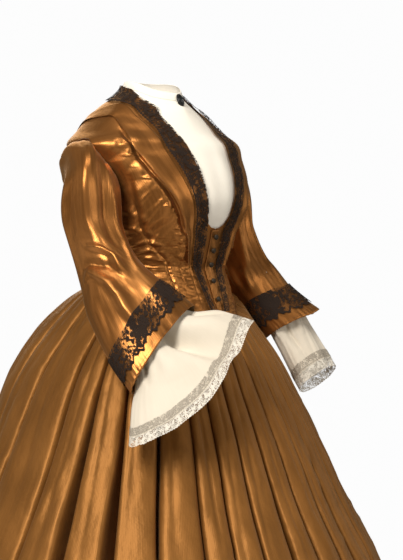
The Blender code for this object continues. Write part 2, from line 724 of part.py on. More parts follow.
def build_skirt(dress):
    for name, first, last in BREADTHS:
        columns = []
        for number in range(first, last):
            start, end = pleat_edge(number), pleat_edge(number + 1)
            outwards = 0 <= number < len(PLEAT_WIDTHS)
            shape = PLEAT_PROFILE if outwards else [PLEAT_PROFILE[0]] + [
                (1 - place, depth) for place, depth in PLEAT_PROFILE[:0:-1]
            ]
            columns += [(start + (end - start) * place, depth) for place, depth in shape]
        columns.append((pleat_edge(last), PLEAT_PROFILE[0][1]))
        grid = []
        for drop in SKIRT_DROPS:
            deep = straight(PLEAT_DEPTHS, 1, drop)
            grid.append([
                skirt_point(angle, drop) + skirt_normal(angle, drop) * share * deep for angle, share in columns
            ])
        dress.cloth(name, trimmed(grid, top=False, bottom=False), SKIRT_WALL, SATIN_COLOUR)


def main():
    for thing in list(bpy.data.objects):
        bpy.data.objects.remove(thing, do_unlink=True)
    dress = Dress("silk_dress")
    build_bodice(dress)
    build_bands(dress)
    build_chemisette(dress)
    build_sleeves(dress)
    build_skirt(dress)


main()
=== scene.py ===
"""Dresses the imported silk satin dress: its cloth, lace, muslin and buttons, on the form of the solids.

Lengths in the tables are millimetres, in the frame of the solids: the front faces -Y, the garment's own
left is +X, and the origin lies midway between the points where the shoulders meet the neck.
"""

from __future__ import annotations

import logging
import math
from dataclasses import dataclass
from enum import Enum
from typing import Any, Sequence

import bpy
import numpy as np
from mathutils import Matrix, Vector

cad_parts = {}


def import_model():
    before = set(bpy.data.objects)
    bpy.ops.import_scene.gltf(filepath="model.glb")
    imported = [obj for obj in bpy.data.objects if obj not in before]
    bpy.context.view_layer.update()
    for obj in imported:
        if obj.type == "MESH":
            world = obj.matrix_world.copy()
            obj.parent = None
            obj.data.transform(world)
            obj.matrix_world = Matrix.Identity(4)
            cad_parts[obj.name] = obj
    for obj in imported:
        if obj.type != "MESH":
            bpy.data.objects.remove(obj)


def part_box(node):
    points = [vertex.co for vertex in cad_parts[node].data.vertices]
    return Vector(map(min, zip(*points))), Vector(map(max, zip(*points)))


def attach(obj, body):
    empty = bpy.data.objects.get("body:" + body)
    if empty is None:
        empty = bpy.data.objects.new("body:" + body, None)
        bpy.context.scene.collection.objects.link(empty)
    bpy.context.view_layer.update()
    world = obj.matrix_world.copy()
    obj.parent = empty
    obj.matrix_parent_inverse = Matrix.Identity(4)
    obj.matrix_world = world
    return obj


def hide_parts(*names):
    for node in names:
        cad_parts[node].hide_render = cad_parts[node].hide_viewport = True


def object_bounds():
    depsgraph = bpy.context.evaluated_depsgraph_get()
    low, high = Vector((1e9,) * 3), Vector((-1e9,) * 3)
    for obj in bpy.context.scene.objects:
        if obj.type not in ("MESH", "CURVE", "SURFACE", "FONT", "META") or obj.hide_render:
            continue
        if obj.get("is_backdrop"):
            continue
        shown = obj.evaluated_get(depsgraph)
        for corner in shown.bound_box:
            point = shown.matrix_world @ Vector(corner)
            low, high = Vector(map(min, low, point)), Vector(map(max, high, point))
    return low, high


LOG = logging.getLogger("dress")
MM = 0.001
Array = np.ndarray
Points = Sequence[Sequence[float]]


class Held(str, Enum):
    """How a sheet of cloth is carried."""

    HUNG = "hung"
    GATHERED = "gathered"
    LAID = "laid"
    STRETCHED = "stretched"


class Side(Enum):
    """The garment's own left and right."""

    LEFT = 1
    RIGHT = -1

    @property
    def word(self) -> str:
        """The side's name in the names of the pieces."""
        return self.name.lower()


def ramp(value: Array, start: float, end: float) -> Array:
    """Rises softly from 0 at start to 1 at end.

    Args:
        value: Where to read it.
        start: The value at which it is 0.
        end: The value at which it is 1.

    Returns:
        The share at each place.
    """
    share = np.clip((value - start) / (end - start), 0.0, 1.0)
    return share * share * (3 - 2 * share)


def distances(line: Array) -> Array:
    """How far along a line, or along each column of a grid, its points are."""
    steps = np.linalg.norm(np.diff(line, axis=0), axis=-1)
    return np.concatenate((np.zeros((1, *steps.shape[1:])), np.cumsum(steps, axis=0)))


def read_between(rows: Points, at: Array, column: int = 1) -> Array:
    """Reads one column of a table on straight lines between its rows.

    Args:
        rows: The table, whose first column is the place, in rising or falling order.
        at: The places to read.
        column: The column to read.

    Returns:
        The value at each place.
    """
    table = sorted(rows)
    return np.interp(at, [row[0] for row in table], [row[column] for row in table])


def numbered(rows: Points) -> Curve:
    """A curve through rows that are read by their number."""
    return Curve([(index, *row) for index, row in enumerate(rows)])


def add_piece(mesh: bpy.types.Mesh, finishes: Sequence[bpy.types.Material],
              node: str = "") -> bpy.types.Object:
    """Adds a mesh to the scene as a piece that rides on the dress.

    Args:
        mesh: The mesh, which has the piece's name.
        finishes: The materials, in the order of the faces' numbers.
        node: The node that the piece stands for, if it has one.

    Returns:
        The piece.
    """
    for finish in finishes:
        mesh.materials.append(finish)
    piece = bpy.data.objects.new(mesh.name, mesh)
    bpy.context.scene.collection.objects.link(piece)
    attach(piece, "root")
    if node:
        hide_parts(node)
    return piece


class Curve:
    """Rows of numbers read between each other on curves that pass through every row."""

    def __init__(self, rows: Points) -> None:
        """Takes the rows, whose first column is the place."""
        table = np.array(sorted(tuple(row) for row in rows), float)
        self.places, self.values = table[:, 0], table[:, 1:]

    def __call__(self, at: Array | float) -> Array:
        """Reads every column after the first.

        Args:
            at: The places to read.

        Returns:
            The columns, along the last axis.
        """
        places, values = self.places, self.values
        at = np.clip(np.asarray(at, float), places[0], places[-1])
        i = np.clip(np.searchsorted(places, at) - 1, 0, len(places) - 2)
        span = (places[i + 1] - places[i])[..., None]
        share = (at - places[i])[..., None] / span
        start, end = self._slope(i) * span, self._slope(i + 1) * span
        rise = values[i + 1] - values[i]
        return (
            values[i] + start * share
            + (3 * rise - 2 * start - end) * share ** 2
            + (start + end - 2 * rise) * share ** 3
        )

    def _slope(self, row: Array) -> Array:
        """The slope of the curves at these rows."""
        low, high = np.maximum(row - 1, 0), np.minimum(row + 1, len(self.places) - 1)
        return (self.values[high] - self.values[low]) / (self.places[high] - self.places[low])[..., None]


class Unevenness:
    """Smooth seeded noise between -1 and 1, over a plane."""

    CELLS = 128

    def __init__(self, seed: int) -> None:
        """Draws the noise's values."""
        self.values = np.random.default_rng(seed).uniform(-1, 1, (self.CELLS, self.CELLS))

    def __call__(self, x: Array, y: Array | float = 0.0) -> Array:
        """Reads the noise.

        Args:
            x: The first coordinate, in cells.
            y: The second coordinate, in cells.

        Returns:
            The noise at each place.
        """
        x, y = np.broadcast_arrays(np.asarray(x, float), np.asarray(y, float))
        column, row = np.floor(x).astype(int), np.floor(y).astype(int)
        u, v = x - column, y - row
        u, v = u * u * (3 - 2 * u), v * v * (3 - 2 * v)
        near = self._at(column, row) * (1 - u) + self._at(column + 1, row) * u
        far = self._at(column, row + 1) * (1 - u) + self._at(column + 1, row + 1) * u
        return near * (1 - v) + far * v

    def _at(self, column: Array, row: Array) -> Array:
        """The values drawn for these cells."""
        return self.values[column % self.CELLS, row % self.CELLS]


@dataclass(frozen=True)
class Crease:
    """A soft fold along a line in a piece's own plane. A negative height is a trough."""

    points: Points
    height: float
    width: float
    lean: float = 0.0

    def lift(self, x: Array, y: Array) -> Array:
        """How far the fold moves the cloth out.

        Args:
            x: The first coordinate of each place, in millimetres.
            y: The second coordinate.

        Returns:
            The lift in millimetres.
        """
        line = np.array(self.points, float)
        steps, reach = np.linalg.norm(np.diff(line, axis=0), axis=1), distances(line)
        nearest = np.full(x.shape, 1e9)
        place, hand = np.zeros(x.shape), np.zeros(x.shape)
        for i, (start, end) in enumerate(zip(line, line[1:])):
            way = end - start
            share = ((x - start[0]) * way[0] + (y - start[1]) * way[1]) / (steps[i] ** 2)
            share = np.clip(share, 0, 1)
            dx, dy = x - start[0] - share * way[0], y - start[1] - share * way[1]
            distance = np.hypot(dx, dy)
            closer = distance < nearest
            nearest = np.where(closer, distance, nearest)
            place = np.where(closer, (reach[i] + share * steps[i]) / reach[-1], place)
            hand = np.where(closer, np.sign(way[0] * dy - way[1] * dx), hand)
        width = self.width * (1 + self.lean * hand)
        taper = np.sqrt(np.clip(np.sin(math.pi * np.clip(place, 0.02, 0.98)), 0, 1))
        return self.height * taper * np.exp(-((nearest / width) ** 2))


def folded(creases: Sequence[Crease], x: Array, y: Array) -> Array:
    """The lift of several creases together."""
    return sum((crease.lift(x, y) for crease in creases), np.zeros(np.shape(x)))


class Value:
    """A number in a material's nodes, with the arithmetic that the finishes use."""

    def __init__(self, shader: "Shader", socket: bpy.types.NodeSocket) -> None:
        """Wraps an output socket."""
        self.shader, self.socket = shader, socket

    def _with(self, operation: str, *others: "Value | float", reflected: bool = False) -> "Value":
        """Adds a Math node.

        Args:
            operation: What it works out.
            others: The values or numbers beside this one.
            reflected: Whether the others come first.

        Returns:
            The result.
        """
        terms = [*others, self] if reflected else [self, *others]
        node = self.shader.node("ShaderNodeMath", {"operation": operation}, dict(enumerate(terms)))
        return Value(self.shader, node.outputs[0])

    def __add__(self, other: "Value | float") -> "Value":
        """The sum."""
        return self._with("ADD", other)

    __radd__ = __add__

    def __mul__(self, other: "Value | float") -> "Value":
        """The product."""
        return self._with("MULTIPLY", other)

    __rmul__ = __mul__

    def __sub__(self, other: "Value | float") -> "Value":
        """The difference."""
        return self._with("SUBTRACT", other)

    def __rsub__(self, other: float) -> "Value":
        """The difference from a number."""
        return self._with("SUBTRACT", other, reflected=True)

    def __truediv__(self, other: "Value | float") -> "Value":
        """The quotient."""
        return self._with("DIVIDE", other)

    def __lt__(self, other: "Value | float") -> "Value":
        """1 where this is less."""
        return self._with("LESS_THAN", other)

    def __gt__(self, other: "Value | float") -> "Value":
        """1 where this is more."""
        return self._with("GREATER_THAN", other)

    def __abs__(self) -> "Value":
        """The size without its sign."""
        return self._with("ABSOLUTE")

    def either(self, other: "Value | float") -> "Value":
        """The larger of the two."""
        return self._with("MAXIMUM", other)

    def call(self, operation: str, *others: "Value | float") -> "Value":
        """Any other operation of a Math node, such as SINE or FRACT."""
        return self._with(operation, *others)


class Shader:
    """One material's nodes, which end in its Principled BSDF."""

    def __init__(self, name: str) -> None:
        """Makes the material.

        Args:
            name: Its name.
        """
        self.material = bpy.data.materials.new(name)
        self.material.use_nodes = True
        self.tree = self.material.node_tree
        self.surface = self.tree.nodes["Principled BSDF"]

    def node(self, kind: str, settings: dict[str, Any] | None = None,
             inputs: dict[int | str, Any] | None = None) -> bpy.types.Node:
        """Adds a node.

        Args:
            kind: The node's type.
            settings: Its own settings, such as a Math node's operation.
            inputs: What goes into its sockets, as values or as links.

        Returns:
            The node.
        """
        node = self.tree.nodes.new(kind)
        for key, setting in (settings or {}).items():
            setattr(node, key, setting)
        for key, value in (inputs or {}).items():
            if isinstance(value, Value):
                self.tree.links.new(value.socket, node.inputs[key])
            elif isinstance(value, bpy.types.NodeSocket):
                self.tree.links.new(value, node.inputs[key])
            else:
                node.inputs[key].default_value = value
        return node

    def constants(self, **values: Any) -> None:
        """Sets numbers and colours on the surface's own sockets, an underscore standing for a space."""
        for key, value in values.items():
            self.surface.inputs[key.replace("_", " ")].default_value = value

    def feed(self, socket: str, source: "Value | bpy.types.NodeSocket") -> None:
        """Links a source into one of the surface's sockets."""
        output = source.socket if isinstance(source, Value) else source
        self.tree.links.new(output, self.surface.inputs[socket])

    def metres(self) -> tuple[Value, Value]:
        """The place on the cloth in metres, from the sheet's own coordinates.

        Returns:
            The places across and along.
        """
        place = self.node("ShaderNodeUVMap", {"uv_map": "cut"})
        parts = self.node("ShaderNodeSeparateXYZ", inputs={0: place.outputs[0]})
        return Value(self, parts.outputs[0]), Value(self, parts.outputs[1])

    def noise(self, across: Value | float, along: Value | float, detail: float = 2.0) -> Value:
        """Noise between 0 and 1 over two coordinates.

        Args:
            across: The first coordinate, in cells.
            along: The second coordinate, in cells.
            detail: How many finer layers it has.

        Returns:
            The noise.
        """
        place = self.node("ShaderNodeCombineXYZ", inputs={0: across, 1: along})
        node = self.node("ShaderNodeTexNoise", {"noise_dimensions": "2D"},
                         {"Vector": place.outputs[0], "Scale": 1.0, "Detail": detail})
        return Value(self, node.outputs[0])

    def cells(self, across: Value, along: Value, feature: str) -> Value:
        """The distance that a pattern of cells gives over two coordinates.

        Args:
            across: The first coordinate, in cells.
            along: The second coordinate, in cells.
            feature: Which distance is measured.

        Returns:
            The distance, in cells.
        """
        place = self.node("ShaderNodeCombineXYZ", inputs={0: across, 1: along})
        node = self.node("ShaderNodeTexVoronoi", {"voronoi_dimensions": "2D", "feature": feature},
                         {"Vector": place.outputs[0], "Scale": 1.0})
        return Value(self, node.outputs["Distance"])

    def blend(self, share: Value, first: Points, second: Points) -> bpy.types.NodeSocket:
        """A colour between two others."""
        node = self.node("ShaderNodeMix", {"data_type": "RGBA"}, {0: share, 6: first, 7: second})
        return node.outputs[2]

    def bump(self, height: Value, distance: float) -> None:
        """Raises the surface by a height between 0 and 1, times a distance in metres."""
        node = self.node("ShaderNodeBump", inputs={"Height": height, "Distance": distance, "Strength": 1.0})
        self.feed("Normal", node.outputs[0])


@dataclass(frozen=True)
class Satin:
    """Silk satin: glossy warm cloth with fine threads along its length and soft changes of tone."""

    name: str = "silk_satin"
    light: Points = (0.47, 0.196, 0.054, 1.0)
    deep: Points = (0.21, 0.074, 0.014, 1.0)
    roughness: float = 0.36
    metallic: float = 0.8
    crush: float = 0.35
    weave_share: float = 0.05

    def build(self) -> bpy.types.Material:
        """Makes the material.

        Returns:
            The material.
        """
        shader = Shader(self.name)
        across, along = shader.metres()
        thread = shader.noise(across * 900, along * 14, 1.0)
        slub = shader.noise(across * 160, along * 5, 2.0)
        cloud = shader.noise(across * 14, along * 8, 3.0)
        tone = thread * 0.3 + slub * 0.3 + cloud * 1.0 - 0.3
        shader.feed("Base Color", shader.blend(tone, self.deep, self.light))
        shader.feed("Roughness", slub * 0.10 + cloud * 0.10 + (self.roughness - 0.10))
        weave = (across * 2200).call("SINE") * 0.25 + thread * 0.5 + slub * 0.6
        dented = shader.noise(across * 30, along * 24, 3.0)
        shader.bump(weave * self.weave_share + dented * self.crush, 0.0024)
        shader.constants(Metallic=self.metallic, Sheen_Weight=0.12, Sheen_Roughness=0.4,
                         Sheen_Tint=(1.0, 0.72, 0.42, 1.0), Specular_Tint=(1.0, 0.78, 0.5, 1.0))
        return shader.material


@dataclass(frozen=True)
class Lining:
    """Plain glazed cotton, inside the satin."""

    name: str = "cotton_lining"
    light: Points = (0.52, 0.36, 0.2, 1.0)
    deep: Points = (0.4, 0.26, 0.13, 1.0)

    def build(self) -> bpy.types.Material:
        """Makes the material.

        Returns:
            The material.
        """
        shader = Shader(self.name)
        across, along = shader.metres()
        weave = (across * 5200).call("SINE") * (along * 5200).call("SINE") * 0.5 + 0.5
        cloud = shader.noise(across * 40, along * 40, 3.0)
        shader.feed("Base Color", shader.blend(cloud, self.deep, self.light))
        shader.bump(weave, 0.00008)
        shader.constants(Roughness=0.85)
        return shader.material


@dataclass(frozen=True)
class Muslin:
    """Fine cream cotton, slightly sheer, with a plain weave."""

    name: str = "cream_muslin"
    light: Points = (0.95, 0.90, 0.80, 1.0)
    deep: Points = (0.87, 0.80, 0.68, 1.0)

    def build(self) -> bpy.types.Material:
        """Makes the material.

        Returns:
            The material.
        """
        shader = Shader(self.name)
        across, along = shader.metres()
        weave = (across * 4200).call("SINE") * (along * 4200).call("SINE") * 0.5 + 0.5
        threads = shader.noise(across * 700, along * 40, 2.0)
        cloud = shader.noise(across * 14, along * 14, 3.0)
        shader.feed("Base Color", shader.blend(cloud * 0.8 + threads * 0.3, self.deep, self.light))
        shader.bump(weave * 0.5 + threads * 0.5, 0.0001)
        shader.constants(Roughness=0.88, Sheen_Weight=0.15, Sheen_Tint=(1.0, 0.95, 0.85, 1.0))
        return shader.material


@dataclass(frozen=True)
class Lace:
    """Machine lace: a fine net with flowers, scrolled outlines, dense clumps and an edge along each side.

    Sizes are millimetres. Where the clumps have a spacing, they alternate with open net along the band.
    """

    name: str
    thread: Points
    deep: Points
    width: float
    pitch: float
    cell: float
    net: float
    scallop: float
    clump: float
    clump_share: float
    clump_spacing: float = 0.0
    clump_start: float = 0.0
    roughness: float = 0.85

    def build(self) -> bpy.types.Material:
        """Makes the material. The first coordinate runs across the band, the second along it.

        Returns:
            The material.
        """
        shader = Shader(self.name)
        across, along = shader.metres()
        wide = across / (self.width * MM)
        step = along / (self.pitch * MM)
        size = self.width / self.pitch
        drift = shader.noise(across * 90, along * 90, 1.0) - 0.5
        net = shader.cells(across / (self.cell * MM), along / (self.cell * MM), "DISTANCE_TO_EDGE") < self.net
        flower = self._flower(step.call("FRACT") - 0.5, (wide - 0.6) * size, 0.34, 6.0, drift)
        bud = self._flower((step + 0.5).call("FRACT") - 0.5, (wide - 0.34) * size, 0.22, 5.0, drift)
        curl = shader.noise(across / (1.6 * self.clump * MM), along / (1.6 * self.clump * MM), 2.0)
        scroll = (abs(curl - 0.5) < 0.022).either(abs(curl - 0.62) < 0.018)
        leaf = shader.noise(across / (self.clump * MM), along / (self.clump * MM), 2.0)
        if self.clump_spacing:
            wave = ((along / MM - self.clump_start) * (math.tau / self.clump_spacing)).call("COSINE")
            dense = (wave * 0.2 + leaf + drift * 0.25) > self.clump_share
        else:
            dense = (leaf + drift * 0.2) > self.clump_share
        holes = shader.cells(across / (0.3 * self.clump * MM), along / (0.3 * self.clump * MM),
                             "DISTANCE_TO_EDGE") > 0.42
        dense = dense * (1 - holes * 0.8)
        teeth = abs((along / (self.scallop * MM)).call("FRACT") - 0.5) * 2
        low_edge = wide - teeth * (0.35 * self.scallop / self.width)
        border = (low_edge < 0.07).either(wide > 0.95)
        kept = low_edge > 0.0
        pattern = flower.either(bud).either(scroll).either(dense)
        cover = (pattern * 0.97).either(net * 0.9).either(border) * kept
        shader.feed("Alpha", cover)
        tone = shader.noise(across * 400, along * 400, 2.0)
        shader.feed("Base Color", shader.blend(tone * 0.6 + net * 0.3, self.deep, self.thread))
        shader.bump(pattern * 0.7 + tone * 0.5, 0.0003)
        shader.constants(Roughness=self.roughness, Specular_IOR_Level=0.12)
        return shader.material

    @staticmethod
    def _flower(x: Value, y: Value, radius: float, petals: float, drift: Value) -> Value:
        """A flower of rounded petals with an open ring round its middle.

        Args:
            x: The distance along the band from its middle, in pitches.
            y: The distance across the band from its middle, in pitches.
            radius: The flower's radius, in pitches.
            petals: How many petals.
            drift: Noise that makes the outline uneven.

        Returns:
            1 on the flower and 0 off it.
        """
        away = (x * x + y * y).call("SQRT") + drift * 0.08
        turn = y.call("ARCTAN2", x)
        edge = (turn * petals).call("COSINE") * (0.3 * radius) + 0.7 * radius
        ring = abs(away - 0.36 * radius) > (0.09 * radius)
        return (away < edge) * ring


@dataclass(frozen=True)
class Bead:
    """The dark finish of the buttons."""

    name: str
    colour: Points
    roughness: float
    thread: float

    def build(self) -> bpy.types.Material:
        """Makes the material.

        Returns:
            The material.
        """
        shader = Shader(self.name)
        place = shader.node("ShaderNodeTexCoord")
        grain = shader.node("ShaderNodeTexNoise", inputs={"Vector": place.outputs["Object"], "Scale": 900.0})
        grain_value = Value(shader, grain.outputs[0])
        lighter = tuple(min(1.0, part * 1.8 + 0.002) for part in self.colour[:3]) + (1.0,)
        shader.feed("Base Color", shader.blend(grain_value, self.colour, lighter))
        shader.bump(grain_value, self.thread)
        shader.constants(Roughness=self.roughness, Specular_IOR_Level=0.3)
        return shader.material


@dataclass(frozen=True)
class Floor:
    """A plain pale floor."""

    name: str = "pale_floor"
    light: Points = (0.86, 0.86, 0.85, 1.0)
    deep: Points = (0.82, 0.82, 0.81, 1.0)

    def build(self) -> bpy.types.Material:
        """Makes the material.

        Returns:
            The material.
        """
        shader = Shader(self.name)
        place = shader.node("ShaderNodeTexCoord")
        cloud = shader.node("ShaderNodeTexNoise", inputs={"Vector": place.outputs["Object"], "Scale": 3.0})
        shader.feed("Base Color", shader.blend(Value(shader, cloud.outputs[0]), self.deep, self.light))
        shader.constants(Roughness=0.9)
        return shader.material


@dataclass(frozen=True)
class Finishes:
    """Every material of the dress."""

    satin: bpy.types.Material
    skirt_satin: bpy.types.Material
    piping: bpy.types.Material
    lining: bpy.types.Material
    muslin: bpy.types.Material
    lawn: bpy.types.Material
    thread: bpy.types.Material
    front_lace: bpy.types.Material
    cuff_lace: bpy.types.Material
    cream_lace: bpy.types.Material
    row_lace: bpy.types.Material
    covered: bpy.types.Material
    jet: bpy.types.Material

    @classmethod
    def make(cls) -> "Finishes":
        """Builds all the materials.

        Returns:
            The finishes.
        """
        black, brown = (0.011, 0.007, 0.006, 1.0), (0.045, 0.028, 0.018, 1.0)
        cream, shade = (0.80, 0.76, 0.68, 1.0), (0.66, 0.60, 0.50, 1.0)
        cream_dull, shade_dull = (0.60, 0.54, 0.45, 1.0), (0.26, 0.22, 0.17, 1.0)
        return cls(
            satin=Satin().build(),
            skirt_satin=Satin("silk_satin_skirt", (0.305, 0.126, 0.027, 1.0), (0.16, 0.061, 0.010, 1.0),
                              roughness=0.52, metallic=0.5, crush=1.0).build(),
            # The piping cord is the same satin as the rest, painted far darker: painted shade for the shadow
            # along the armhole seams.
            piping=Satin("silk_satin_piping_painted_shade", (0.13, 0.045, 0.011, 1.0), (0.05, 0.016, 0.004, 1.0),
                         roughness=0.45, metallic=0.4).build(),
            lining=Lining().build(),
            muslin=Muslin().build(),
            # The undersleeves' muslin is a darker copy of the cream muslin: painted shade for the shade they
            # hang in under the sleeves.
            lawn=Muslin("cream_lawn", (0.72, 0.65, 0.54, 1.0), (0.60, 0.53, 0.42, 1.0)).build(),
            thread=Bead("silk_thread", (0.085, 0.033, 0.009, 1.0), 0.6, 0.0002).build(),
            front_lace=Lace("black_front_lace", brown, black, 40, 36, 2.1, 0.09, 6, 11.0, 0.57).build(),
            cuff_lace=Lace("black_cuff_lace", brown, black, 62, 50, 2.3, 0.07, 15, 13.0, 0.56, 98,
                           58).build(),
            cream_lace=Lace("cream_edge_lace", cream, shade, 20, 17, 2.6, 0.10, 5, 7.0, 0.55).build(),
            row_lace=Lace("cream_row_lace", cream_dull, shade_dull, 18, 16, 2.8, 0.03, 5, 9.0, 0.53).build(),
            covered=Bead("thread_covered", (0.016, 0.010, 0.004, 1.0), 0.55, 0.0004).build(),
            jet=Bead("black_jet", (0.005, 0.005, 0.005, 1.0), 0.3, 0.0001).build(),
        )


@dataclass
class Sheet:
    """A sheet of cloth through a grid of points, in millimetres. A tube's rows are closed rings."""

    name: str
    points: Array
    slot: str
    node: str
    held: Held
    rests_on: Sequence[str]
    tube: bool = False
    wall: float = 0.0
    across_first: bool = True
    least_share: float = 0.36

    def build(self, outside: bpy.types.Material, inside: bpy.types.Material | None = None) -> None:
        """Args:
            outside: The finish of the face that looks out.
            inside: The finish of the face behind it, or None for the same.
        """
        grid = self._outward(np.array(self.points, float) * MM)
        rows, columns = grid.shape[:2]
        ring = columns if self.tube else columns - 1
        i, j = np.meshgrid(np.arange(rows - 1), np.arange(ring), indexing="ij")
        k, upper, lower = (j + 1) % columns, i * columns, (i + 1) * columns
        faces = np.stack((upper + j, lower + j, lower + k, upper + k), -1).reshape(-1, 4)
        mesh = bpy.data.meshes.new(self.name)
        mesh.vertices.add(rows * columns)
        mesh.vertices.foreach_set("co", grid.reshape(-1))
        mesh.loops.add(faces.size)
        mesh.loops.foreach_set("vertex_index", faces.reshape(-1))
        mesh.polygons.add(len(faces))
        mesh.polygons.foreach_set("loop_start", np.arange(len(faces)) * 4)
        mesh.polygons.foreach_set("loop_total", np.full(len(faces), 4))
        mesh.update(calc_edges=True)
        self._lay_out(mesh, grid, i, j)
        mesh.shade_smooth()
        piece = add_piece(mesh, (outside, inside or outside), self.node)
        if self.wall:
            shell = piece.modifiers.new("Wall", "SOLIDIFY")
            shell.thickness, shell.offset = self.wall * MM, -1
            shell.material_offset = 1
        self._declare(grid)
        LOG.info("%s: %d faces", self.name, len(faces))

    def _outward(self, grid: Array) -> Array:
        """Turns a grid so that its faces look out.

        Args:
            grid: The points, in metres.

        Returns:
            The grid, mirrored where that was needed.
        """
        middle = len(grid) // 2
        down = grid[middle + 1] - grid[middle - 1] if len(grid) > 2 else grid[1] - grid[0]
        across = np.roll(grid[middle], -1, axis=0) - grid[middle]
        centre = grid[middle].mean(axis=0) if self.tube else np.array((0, -0.03, grid[middle, :, 2].mean()))
        away = grid[middle] - centre
        facing = np.sum(np.cross(down, across)[:-1] * away[:-1])
        return grid if facing > 0 else grid[:, ::-1]

    def _lay_out(self, mesh: bpy.types.Mesh, grid: Array, i: Array, j: Array) -> None:
        """Gives the mesh its place on the flat cloth, in metres.

        Args:
            mesh: The mesh.
            grid: Its points.
            i: The row of each face.
            j: The column of each face.
        """
        rows, columns = grid.shape[:2]
        wrapped = np.concatenate((grid, grid[:, :1]), axis=1)
        widths = np.linalg.norm(np.diff(wrapped, axis=1), axis=2)
        lengths = np.linalg.norm(np.diff(grid, axis=0), axis=2)
        across = np.concatenate(([0.0], np.cumsum(widths.mean(axis=0))))
        along = np.concatenate(([0.0], np.cumsum(lengths.mean(axis=1))))
        first = np.stack((across[j], across[j], across[j + 1], across[j + 1]), -1)
        second = np.stack((along[i], along[i + 1], along[i + 1], along[i]), -1)
        pair = (first, second) if self.across_first else (second, first)
        layer = mesh.uv_layers.new(name="cut")
        layer.uv.foreach_set("vector", np.stack(pair, -1).reshape(-1))

    def _declare(self, grid: Array) -> None:
        """States the size that the cloth is cut to.

        Args:
            grid: Its points, in metres.
        """
        ring = np.concatenate((grid, grid[:, :1]), axis=1) if self.tube else grid
        down, across = np.diff(ring, axis=0)[:, :-1], np.diff(ring, axis=1)[:-1]
        area = float(np.linalg.norm(np.cross(down, across), axis=2).sum())
        width = float(np.linalg.norm(np.diff(ring, axis=1), axis=2).sum(axis=1).max())
        length = max(float(np.linalg.norm(np.diff(ring, axis=0), axis=2).sum(axis=0).mean()), area / width)
        width = min(width, area / (self.least_share * length))
        LOG.info("%s: flat %.3f by %.3f m, area %.4f", self.name, width, length, area)
        round(length * 1.001, 4)


class Torso:
    """The bodice's form: an oval ring at each height."""

    RINGS = Curve((
        (24, 56, 2, 48, 60, 2.0, 2.0), (12, 58.5, 2, 51, 62.5, 1.9, 2.0), (0, 62, 0, 54, 67, 1.6, 2.2),
        (-15, 78, 0, 59, 80, 1.42, 2.4), (-30, 99, 0, 76, 94, 1.38, 2.6), (-52, 127, 0, 90, 106, 1.6, 2.6),
        (-82, 160, 5, 117, 106, 1.85, 2.6), (-105, 188, 8, 146, 104, 1.85, 2.5),
        (-133, 177, 0, 153, 112, 1.9, 2.4), (-163, 168, -10, 156, 118, 2.0, 2.3),
        (-190, 160, -22, 151, 122, 2.0, 2.2), (-215, 152, -32, 142, 122, 2.0, 2.2),
        (-241, 145, -37, 130, 118, 2.0, 2.1), (-264, 139, -39, 117, 112, 2.0, 2.1),
        (-287, 131, -40, 110, 103, 2.0, 2.1), (-317, 120, -40, 102, 91, 2.0, 2.1),
        (-338, 115, -40, 97, 85, 2.0, 2.1), (-365, 121, -40, 106, 91, 2.0, 2.1),
        (-405, 127, -40, 121, 112, 2.0, 2.0), (-440, 145, -40, 134, 128, 2.0, 2.0),
    ))

    @staticmethod
    def ring(angle: Array, sizes: Array) -> tuple[Array, Array]:
        """A place on an oval ring.

        Args:
            angle: Degrees from the centre front towards the left.
            sizes: Half width, centre, front, back and the two powers, along the last axis.

        Returns:
            X and Y.
        """
        half_width, centre, front, back, front_round, back_round = np.moveaxis(sizes, -1, 0)
        turn = np.radians(angle)
        side, ahead = np.abs(np.sin(turn)), np.abs(np.cos(turn))
        is_front = np.cos(turn) >= 0
        power = np.where(is_front, front_round, back_round)
        reach = (side ** power + ahead ** power) ** (-1 / power)
        y = centre + np.where(is_front, -front, back) * ahead * reach
        return np.sign(np.sin(turn)) * half_width * side * reach, y

    def point(self, angle: Array | float, height: Array | float) -> Array:
        """The place at these angles and heights.

        Args:
            angle: Degrees from the centre front towards the left.
            height: Millimetres above the origin.

        Returns:
            The points.
        """
        angle, height = np.broadcast_arrays(np.asarray(angle, float), np.asarray(height, float))
        x, y = self.ring(angle, self.RINGS(height))
        return np.stack((x, y, height), -1)

    def normal(self, angle: Array | float, height: Array | float) -> Array:
        """The way out of the bodice.

        Args:
            angle: Degrees from the centre front towards the left.
            height: Millimetres above the origin.

        Returns:
            A vector of length 1 for each place.
        """
        step = 0.8
        around = self.point(angle + step, height) - self.point(angle - step, height)
        upward = self.point(angle, height + step) - self.point(angle, height - step)
        out = np.cross(around, upward)
        return out / np.linalg.norm(out, axis=-1, keepdims=True)

    def lifted(self, grid: Array, out: Array | float) -> Array:
        """Points this far out from a grid of angles and heights."""
        angle, height = grid[..., 0], grid[..., 1]
        return self.point(angle, height) + self.normal(angle, height) * np.asarray(out)[..., None]

    def angle_of(self, across: Array | float, height: Array | float, behind: bool = False) -> Array:
        """The angle at which the bodice is this far from its middle.

        Args:
            across: The distance from the middle.
            height: Millimetres above the origin.
            behind: Whether it is on the back.

        Returns:
            Degrees from the centre front towards the left.
        """
        across, height = np.broadcast_arrays(np.asarray(across, float), np.asarray(height, float))
        low = np.full(across.shape, 90.0 if behind else 0.0)
        high = low + 90.0
        for _ in range(30):
            middle = (low + high) / 2
            wide = (self.point(middle, height)[..., 0] > across) != behind
            high, low = np.where(wide, middle, high), np.where(wide, low, middle)
        return (low + high) / 2

    def along(self, points: Points, count: int) -> Array:
        """Spreads angles and heights evenly along a line.

        Args:
            points: The angles and heights that the line goes through.
            count: How many are wanted.

        Returns:
            The angles and heights.
        """
        points = np.array(points, float)
        reach = distances(self.point(points[:, 0], points[:, 1]))
        wanted = np.linspace(0, reach[-1], count)
        return np.stack([np.interp(wanted, reach, points[:, axis]) for axis in (0, 1)], -1)


